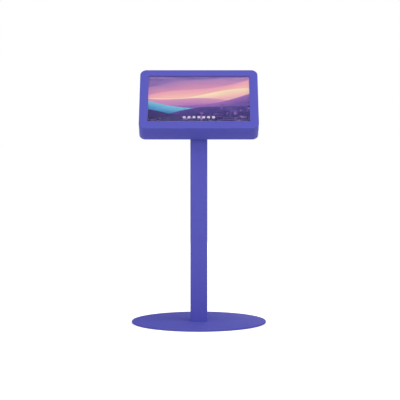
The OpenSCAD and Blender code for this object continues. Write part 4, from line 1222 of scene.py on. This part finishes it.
@dataclass
class Computer:
    """Moving and touched pieces of the computer: fan rotor and power button."""

    x: float = -115.0
    u: float = 250.0
    fan_u: float = -10.0
    fan_front: float = 58.0
    lid_d: float = 68.0
    hub_r: float = 10.0
    hub_d: tuple[float, float] = (60.5, 67.0)
    hub_edges: tuple[float, float] = (0.6, 1.2)
    hub_rim: float = 4.0
    shaft_r: float = 1.5
    overlap: float = 0.4
    root: float = 0.8
    tip_r: float = 22.6
    blades: int = 7
    blade_d: float = 63.85
    chord: float = 9.0
    thick: float = 1.2
    thin_share: float = 0.35
    camber: float = 0.5
    pitch: tuple[float, float] = (41.0, 29.0)
    button: tuple[float, float] = (45.0, 40.0)
    button_r: float = 4.5
    play: float = 0.3
    lip: float = 1.5
    stem: float = 3.5
    raised: float = 3.5
    button_edge: tuple[tuple[float, float], ...] = ((0.0, 0.7), (0.3, 0.2), (0.8, 0.0))
    crown_r: float = 3.4
    dish: float = 0.5
    dish_end: float = 0.4

    def make(self) -> None:
        """Makes the fan's rotor and the power button."""
        rotor = self.rotor().moved(HEAD.at(self.x, self.u + self.fan_u))
        show(as_mesh("fan_rotor_moulded", rotor), "black_plastic", Body.FAN, ("fan_rotor",))
        across, up = self.button
        cap = self.cap().moved(HEAD.at(self.x + across, self.u + up))
        mesh = as_mesh("computer_button_cap", cap)
        show(mesh, "button_plastic", Body.COMPUTER_BUTTON, ("pc_power_button",))

    def blade(self) -> Shape:
        """One blade, whose section turns flatter from hub to tip.

        At radius r the section's point at c, from -1/2 to 1/2 of the chord, lies camber (1 - 4 c^2)
        off the chord, give or take half of the thickness, which thins out towards both edges. The
        pitch goes evenly from the hub's to the tip's.

        Returns:
            The blade along the first axis.
        """
        radii = np.linspace(self.hub_r - self.root, self.tip_r, num=8)
        c = np.linspace(-0.5, 0.5, num=11)
        bow = 1 - 4 * c**2
        half = self.thick / 2 * (self.thin_share + (1 - self.thin_share) * bow)
        sides = [np.column_stack([c * self.chord, self.camber * bow + way * half]) for way in (1, -1)]
        section = np.concatenate([sides[0], sides[1][::-1]])
        pitch = np.radians(np.linspace(*self.pitch, len(radii)))[:, None]
        rows = np.empty((len(radii), len(section), 3))
        rows[..., 0] = radii[:, None]
        rows[..., 1] = section[:, 0] * np.cos(pitch) - section[:, 1] * np.sin(pitch)
        rows[..., 2] = section[:, 0] * np.sin(pitch) + section[:, 1] * np.cos(pitch)
        return skin(rows)

    def rotor(self) -> Shape:
        """Joins hub, shaft and blades, each blade turned about the axis by its share of the circle.

        Returns:
            The rotor about its axis.
        """
        r, sink, (near, far), (small, large) = self.hub_r, self.overlap, self.hub_d, self.hub_edges
        rim = r - self.hub_rim
        hub = [
            [r - small, near], [r, near + small], [r, far - large],
            [r - large, far], [rim, far], [rim - sink, far - sink],
        ]
        shaft = [[self.shaft_r, self.fan_front], [self.shaft_r, near + self.overlap]]
        blade = self.blade()
        angle = np.arange(self.blades) * 2 * np.pi / self.blades
        cos, sin, none = np.cos(angle), np.sin(angle), 0 * angle
        turns = np.array([[cos, sin, none], [-sin, cos, none], [none, none, none + 1]]).transpose(2, 0, 1)
        blades = copies(blade.points @ turns + [0.0, 0.0, self.blade_d], blade.faces)
        return join(lathe(hub, steps=64), lathe(shaft, steps=24), blades)

    def cap(self) -> Shape:
        """Turns the button, with a dished crown and the lip that keeps it in the lid.

        Returns:
            The button about its axis.
        """
        r, wide, lip, crown = self.button_r, self.lip, self.lid_d - self.play, self.lid_d + self.raised
        dish = np.linspace(self.crown_r, self.dish_end, num=6)
        top = np.column_stack([dish, crown - self.dish * (1 - (dish / self.crown_r) ** 2)])
        side = [[r, lip - self.stem], [r, lip - wide], [r + wide, lip - wide], [r + wide, lip], [r, lip]]
        edge = np.array(self.button_edge) * -1 + [r, crown]
        return lathe(np.concatenate([side, edge, top]), steps=40)


@dataclass
class SettingKeys:
    """The display's five setting keys, each a round cap with a crowned top."""

    x: float = 140.0
    u: float = 284.0
    pitch: float = 17.0
    radius: float = 3.5
    base_d: float = 36.3
    base_edge: float = 0.3
    top_d: float = 43.2
    top_edge: tuple[tuple[float, float], ...] = ((0.0, 1.0), (0.25, 0.5))
    crown: float = 0.4
    crown_r: tuple[float, float] = (2.8, 0.3)

    def make(self) -> None:
        """Turns each key.

        The crown falls from the middle as crown (r / radius)^2 and runs into a rounded edge.
        """
        full, base, small = self.radius, self.base_d, self.base_edge
        r = np.linspace(*self.crown_r, num=6)
        crown = np.column_stack([r, self.top_d - self.crown * (r / full) ** 2])
        edge = np.array(self.top_edge) * -1 + [full, self.top_d]
        foot = [[full - small, base], [full, base + small]]
        key = lathe(np.concatenate([foot, edge, crown]), steps=40)
        for i, body in enumerate(KEY_BODIES):
            x = self.x + (i - (len(KEY_BODIES) - 1) / 2) * self.pitch
            node = f"key_{i + 1}"
            show(as_mesh(node + "_cap", key.moved(HEAD.at(x, self.u))), "button_plastic", body, (node,))


@dataclass
class PowerSupply:
    """Sealed supply: two moulded halves with a seam, and a small lamp."""

    x: float = 140.0
    u: float = 229.0
    size: tuple[float, float, float] = (130.0, 58.0, 32.0)
    radius: float = 6.0
    edge: float = 2.2
    near: float = 33.2
    seam: float = 0.5
    lamp: tuple[float, float] = (14.0, 12.0)
    lamp_r: float = 1.8
    lamp_h: float = 0.9
    lamp_foot: float = 0.6

    def make(self) -> None:
        """Carries the seam's profile round the housing, and adds the lamp's domed lens."""
        length, width, thick = self.size
        groove = np.array([[0.0, -2.0], [1.0, -1.0], [1.0, 1.0], [0.0, 2.0]]) * self.seam + [0.0, thick / 2]
        edge = edge_round(self.edge, steps=5)
        profile = np.concatenate([edge, groove, far_edge(edge, thick)])
        housing = skin(carried(length, width, self.radius, profile, steps=10))
        housing = housing.moved(HEAD.at(self.x, self.u, self.near))
        show(as_mesh("supply_housing", housing), "supply_plastic", replaces=("power_supply",))
        flat = 0.1
        a = np.linspace(0.0, QUARTER - flat, num=6)
        dome = np.column_stack([self.lamp_r * np.cos(a), self.lamp_h * np.sin(a)])
        lens = lathe(np.concatenate([[[self.lamp_r, -self.lamp_foot]], dome]), steps=24)
        across, down = self.lamp
        place = HEAD.at(self.x - length / 2 + across, self.u + width / 2 - down, self.near + thick)
        show(as_mesh("supply_lamp_lens", lens.moved(place)), "supply_plastic", finish=LAMP_LENS)


class Axis(Enum):
    """The head axis that a plug lies along, as the order of its own three coordinates."""

    X = (2, 0, 1)
    U = (0, 2, 1)


@dataclass
class Plug:
    """A moulded plug with grip grooves, along its axis from its mating face, at 0, to its lead end."""

    x: float
    u: float
    d: float
    size: tuple[float, float, float]
    axis: Axis
    towards: int
    lead_r: float
    edge: float = 1.0
    corner: float = 0.28
    face_edge: float = 0.3
    grooves: int = 3
    groove_step: float = 2.0
    groove_size: tuple[float, float] = (0.35, 0.4)
    grip_start: float = 0.55
    grip_end: float = 3.0
    sleeve: float = 6.0
    sleeve_root: float = 1.0
    sleeve_walls: tuple[float, float, float] = (1.3, 1.2, 0.35)
    sleeve_play: float = 0.02

    def shape(self) -> Shape:
        """Carries a profile with grooves round the plug's section, and adds the lead's sleeve.

        Returns:
            The plug in place.
        """
        wide, thick, length = self.size
        groove = np.array([[0.0, 0.0], [1.0, 1.0], [1.0, 2.0], [0.0, 3.0]]) * self.groove_size
        starts = [length * self.grip_start + self.groove_step * k for k in range(self.grooves)]
        cuts = [groove + [0.0, start] for start in starts if start < length - self.grip_end]
        profile = np.concatenate([edge_round(self.face_edge), *cuts, far_edge(edge_round(self.edge), length)])
        body = skin(carried(wide, thick, min(wide, thick) * self.corner, profile, steps=5))
        root, end = length - self.sleeve_root, length + self.sleeve
        outer = [[self.lead_r + wall, z] for wall, z in zip(self.sleeve_walls, (root, length, end))]
        inner = [[self.lead_r + self.sleeve_play, z] for z in (end, root)]
        both = join(body, lathe(outer + inner, steps=24, closed=True))
        local = both.points * [1, 1, self.towards]
        return Shape(HEAD.place(local[:, list(self.axis.value)] + [self.x, self.u, self.d]), both.faces)


@dataclass
class Leads:
    """The leads inside post and head, and their plugs. The routes repeat the part's own.

    Ports are given by x, u and d, and plugs by width, thickness and length.
    """

    aside: tuple[float, float, float] = (0.05, -0.79, 0.61)
    post_aside: tuple[float, float, float] = (0.1, -0.62, 0.78)
    ports: tuple[float, float, float] = (-25.0, 0.0, 25.0)
    computer: tuple[float, float, float] = (-115.0, 197.0, 47.0)
    controller: tuple[float, float, float] = (-105.0, 119.0, 44.3)
    supply: tuple[float, float, float] = (75.0, 229.0, 49.2)
    supply_end: float = 205.0
    keypad: tuple[float, float, float] = (90.0, 284.0, 39.4)
    plug: tuple[float, float, float] = (12.0, 6.5, 20.0)
    mains_plug: tuple[float, float, float] = (20.0, 18.0, 20.0)
    dc_plug: tuple[float, float, float] = (28.0, 12.0, 12.0)
    keypad_plug: tuple[float, float, float] = (8.0, 3.6, 16.0)
    mains_r: float = 4.0
    signal_r: float = 2.5
    keypad_r: float = 1.5
    dc_r: float = 2.0
    dc_apart: float = 8.0
    straight: float = 8.0
    post_y: float = 30.0

    def make(self) -> None:
        """Makes the mains lead, the signal leads, the low-voltage leads and every plug."""
        for node, name, shape in (
            ("mains_lead", "mains_lead_jacket", self.mains()),
            ("signal_leads", "signal_lead_jackets", self.signals()),
            ("dc_lead", "dc_lead_jackets", self.dc()),
        ):
            show(as_mesh(name, shape), "lead_jacket", replaces=(node,))
        show(as_mesh("lead_plugs_moulded", self.plugs()), "black_plastic", replaces=("lead_plugs",))

    def run(self, points: list, radius: float) -> Shape:
        """One lead through points given by x, u and d."""
        return tube(smooth_route(HEAD.place(points)), radius, self.aside, sides=14)

    def leaving(self, port: tuple[float, float, float], x: float, towards: int) -> list:
        """Where a lead leaves the plug at x of a port, up (1) or down (-1) the face, and a bit further on."""
        ends = (self.plug[2], self.plug[2] + self.straight)
        return [[port[0] + x, port[1] + towards * end, port[2]] for end in ends]

    def mains(self) -> Shape:
        """Leads from the inlet up the post to the supply.

        Returns:
            The lead.
        """
        low = [[0, 11, 99.5], [0, 11, 125], [0, 17, 165]]
        post = [[0, self.post_y, z] for z in (230, 320, 440, 560, 680)]
        neck = [[0, 24, 780], [0, 6, 860], [0, 0, 920]]
        x, u, d = self.supply
        end = x - self.mains_plug[2]
        head = [[0, 114, 72], [6, 142, 60], [18, 174, 54], [32, 208, 50], [end - 10, u, d], [end, u, d]]
        route = smooth_route(np.concatenate([np.array(low + post + neck, float), HEAD.place(head)]))
        return tube(route, self.mains_r, self.post_aside, sides=16)

    def signals(self) -> Shape:
        """Leads from the computer down to the display's controller, and from the keypad to it.

        Returns:
            The two display leads and the keypad's thin one.
        """
        display = [
            self.leaving(self.computer, x, -1) + self.leaving(self.controller, x, 1)[::-1]
            for x in self.ports[:2]
        ]
        x, u, d = self.keypad
        end = x - self.keypad_plug[2]
        keypad = [
            [end, u, d], [end - 12, u, d], [46, 280, 38.2], [24, 262, 36.2], [-2, 214, 36.2],
            [-14, 160, 36.2], [-16, 106, 37.2], [-22, 84, 40.2], [-30, 84, 40.2],
        ]
        return join(*(self.run(route, self.signal_r) for route in display), self.run(keypad, self.keypad_r))

    def dc(self) -> Shape:
        """Leads from the supply to the computer and to the display's controller.

        Returns:
            Both low-voltage leads.
        """
        _, u, d = self.supply
        x, end = self.ports[2], self.supply_end + self.dc_plug[2]
        low, high = u - self.dc_apart, u + self.dc_apart
        above = [
            [end, low, d], [end + 8, low, d], [225, 196, 45], [200, 180, 42], [120, 176, 42],
            [40, 176, 42], [-30, 172, 42], [-66, 163, 43],
        ]
        below = [
            [end, high, d], [end + 8, high, d], [243, 212, 46], [235, 182, 42], [200, 165, 41],
            [120, 162, 41], [20, 162, 41], [-40, 156, 41], [-64, 152, 42],
        ]
        above += self.leaving(self.computer, x, -1)[::-1]
        below += self.leaving(self.controller, x, 1)[::-1]
        return join(self.run(above, self.dc_r), self.run(below, self.dc_r))

    def plugs(self) -> Shape:
        """Places a plug at each port of computer, controller, supply and keypad.

        Returns:
            The plugs.
        """
        plugs = [
            Plug(port[0] + x, port[1], port[2], self.plug, Axis.U, way, r)
            for port, way in ((self.computer, -1), (self.controller, 1))
            for x, r in zip(self.ports, (self.signal_r, self.signal_r, self.dc_r))
        ]
        _, u, d = self.supply
        plugs.append(Plug(*self.supply, self.mains_plug, Axis.X, -1, self.mains_r))
        plugs.append(Plug(self.supply_end, u, d, self.dc_plug, Axis.X, 1, self.dc_r))
        plugs.append(Plug(*self.keypad, self.keypad_plug, Axis.X, -1, self.keypad_r, edge=0.5))
        return join(*(plug.shape() for plug in plugs))


@dataclass
class CarriedOver:
    """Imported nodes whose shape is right: each shows as a smooth copy with small rounds on its edges."""

    edge: float = 0.3
    segments: int = 2
    sharp_degrees: float = 38.0
    slots: dict[str, str] = field(
        default_factory=lambda: {p["node"]: p["material_slot"] for p in frame["record"]["subparts"]}
    )
    bodies: dict[str, Body] = field(
        default_factory=lambda: {
            node: Body(body)
            for body, nodes in frame["record"]["behaviour"]["bodies"].items()
            for node in nodes
        }
    )

    def make(self) -> None:
        """Dresses every node that no new piece stands for."""
        for node in sorted(set(frame["nodes"]) - REMADE):
            self.dress(node)

    def dress(self, node: str) -> None:
        """Makes the smooth copy of one node.

        Args:
            node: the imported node's name.
        """
        mesh = frame["nodes"][node].data.copy()
        mesh.name = node + "_dressed"
        settle(mesh, self.sharp_degrees, outwards=False)
        mesh.materials.clear()
        piece = show(mesh, self.slots[node], self.bodies[node], (node,))
        rounds = piece.modifiers.new("edge_rounds", "BEVEL")
        rounds.width, rounds.segments = self.edge * MM, self.segments
        rounds.limit_method, rounds.angle_limit = "ANGLE", math.radians(self.sharp_degrees)
        rounds.harden_normals = True


# Studio


def seen_directly(tree: Tree) -> Term:
    """A sum that is 1 on rays that show the surround, from the camera or by way of gloss or glass."""
    path = add(tree, "LightPath").node.outputs
    return ("MAXIMUM", ("MAXIMUM", path["Is Camera Ray"], path["Is Glossy Ray"]), path["Is Transmission Ray"])


@dataclass(frozen=True)
class Lamp:
    """A square soft light that looks at a point of the kiosk, in metres and watts."""

    name: str
    place: tuple[float, float, float]
    target: tuple[float, float, float]
    size: float
    power: float

    def make(self) -> None:
        """Hangs the lamp."""
        light = bpy.data.lights.new(self.name, "AREA")
        light.shape, light.size, light.energy = "SQUARE", self.size, self.power
        lamp = link(self.name, light)
        lamp.location = self.place
        lamp.rotation_euler = (Vector(self.target) - Vector(self.place)).to_track_quat("-Z", "Y").to_euler()


@dataclass
class Studio:
    """White floor and surround, soft lamps and the photograph's camera."""

    sensor_mm: float = 36.0
    focal_px: float = 1361.0
    photo_px: float = 400.0
    distance: float = 6.428
    height: float = 0.913
    pitch_down: float = 2.96
    aside: float = 0.0054
    ambient: float = 0.39
    floor_half: float = 60.0
    floor_lift: float = 0.7
    corner_reach: float = 0.02
    lamps: tuple[Lamp, ...] = (
        Lamp("high_front_light", (0.3, -2.6, 4.2), (0.0, 0.0, 0.6), 2.4, 44.0),
        Lamp("low_front_light", (-1.5, -4.5, 1.3), (0.0, 0.0, 0.7), 2.4, 35.5),
        Lamp("high_right_light", (2.7, -1.3, 2.9), (0.0, 0.0, 0.5), 2.4, 42.0),
        Lamp("left_light", (-2.8, -1.1, 1.9), (0.0, 0.0, 1.1), 0.8, 12.0),
        Lamp("low_back_light", (1.2, 4.4, 0.9), (0.0, 0.0, 0.8), 1.6, 34.0),
    )

    def make(self) -> None:
        """Sets up camera, floor, surround and lamps."""
        self.camera()
        self.floor()
        self.surround()
        for lamp in self.lamps:
            lamp.make()
        bpy.context.scene.view_settings.view_transform = "Standard"

    def camera(self) -> None:
        """Sets the camera where the photograph's was."""
        data = bpy.data.cameras.new("photo_camera")
        data.sensor_width = self.sensor_mm
        data.lens = self.sensor_mm * self.focal_px / self.photo_px
        camera = link("photo_camera", data)
        camera.location = (self.aside, -self.distance, self.height)
        camera.rotation_euler = (math.radians(90 - self.pitch_down), 0.0, 0.0)
        bpy.context.scene.camera = camera

    def surround(self) -> None:
        """Lights the world softly, and shows it white where it is seen."""
        world = bpy.data.worlds.new("studio_surround")
        tree = bare_tree(world)
        strength = ("MULTIPLY_ADD", seen_directly(tree), 1.0 - self.ambient, self.ambient)
        light = add(tree, "Background", {"Color": (1.0, 1.0, 1.0, 1.0), "Strength": strength})
        add(tree, "OutputWorld", {"Surface": light})
        bpy.context.scene.world = world

    def floor(self) -> None:
        """Lays a pale floor that keeps the kiosk's shadow, with painted shade darkest in the gap under its rim."""
        half = self.floor_half
        corners = [(-half, -half, 0), (half, -half, 0), (half, half, 0), (-half, half, 0)]
        mesh = bpy.data.meshes.new("studio_floor")
        mesh.from_pydata(corners, [], [(0, 1, 2, 3)])
        material = bpy.data.materials.new("pale_floor_paint")
        tree = bare_tree(material)
        paint = add(tree, "BsdfDiffuse", {"Color": to_linear("#f0f0f0")})
        # Ambient occlusion fades the floor's glow close to the kiosk: painted shade, darkest in the gap under the
        # rim
        open_air = add(tree, "AmbientOcclusion", {"Distance": self.corner_reach}).node.outputs["AO"]
        lift = ("MULTIPLY", ("MULTIPLY", seen_directly(tree), self.floor_lift), open_air)
        glow = add(tree, "Emission", {"Color": (1.0, 1.0, 1.0, 1.0), "Strength": lift})
        add(tree, "OutputMaterial", {"Surface": add(tree, "AddShader", {0: paint, 1: glow})})
        mesh.materials.append(material)
        link("studio_floor", mesh)


def main() -> None:
    """Builds the studio and every sub-assembly, in the order in which they are put together."""
    logging.basicConfig(level=logging.INFO, format="%(message)s")
    for kind in (
        Studio, Base, Post, HeadShell, LcdPanel, InletSwitch, Computer, SettingKeys, PowerSupply,
        Leads, CarriedOver,
    ):
        LOG.info("%s", kind.__name__)
        kind().make()


if __name__ == "__main__":
    main()
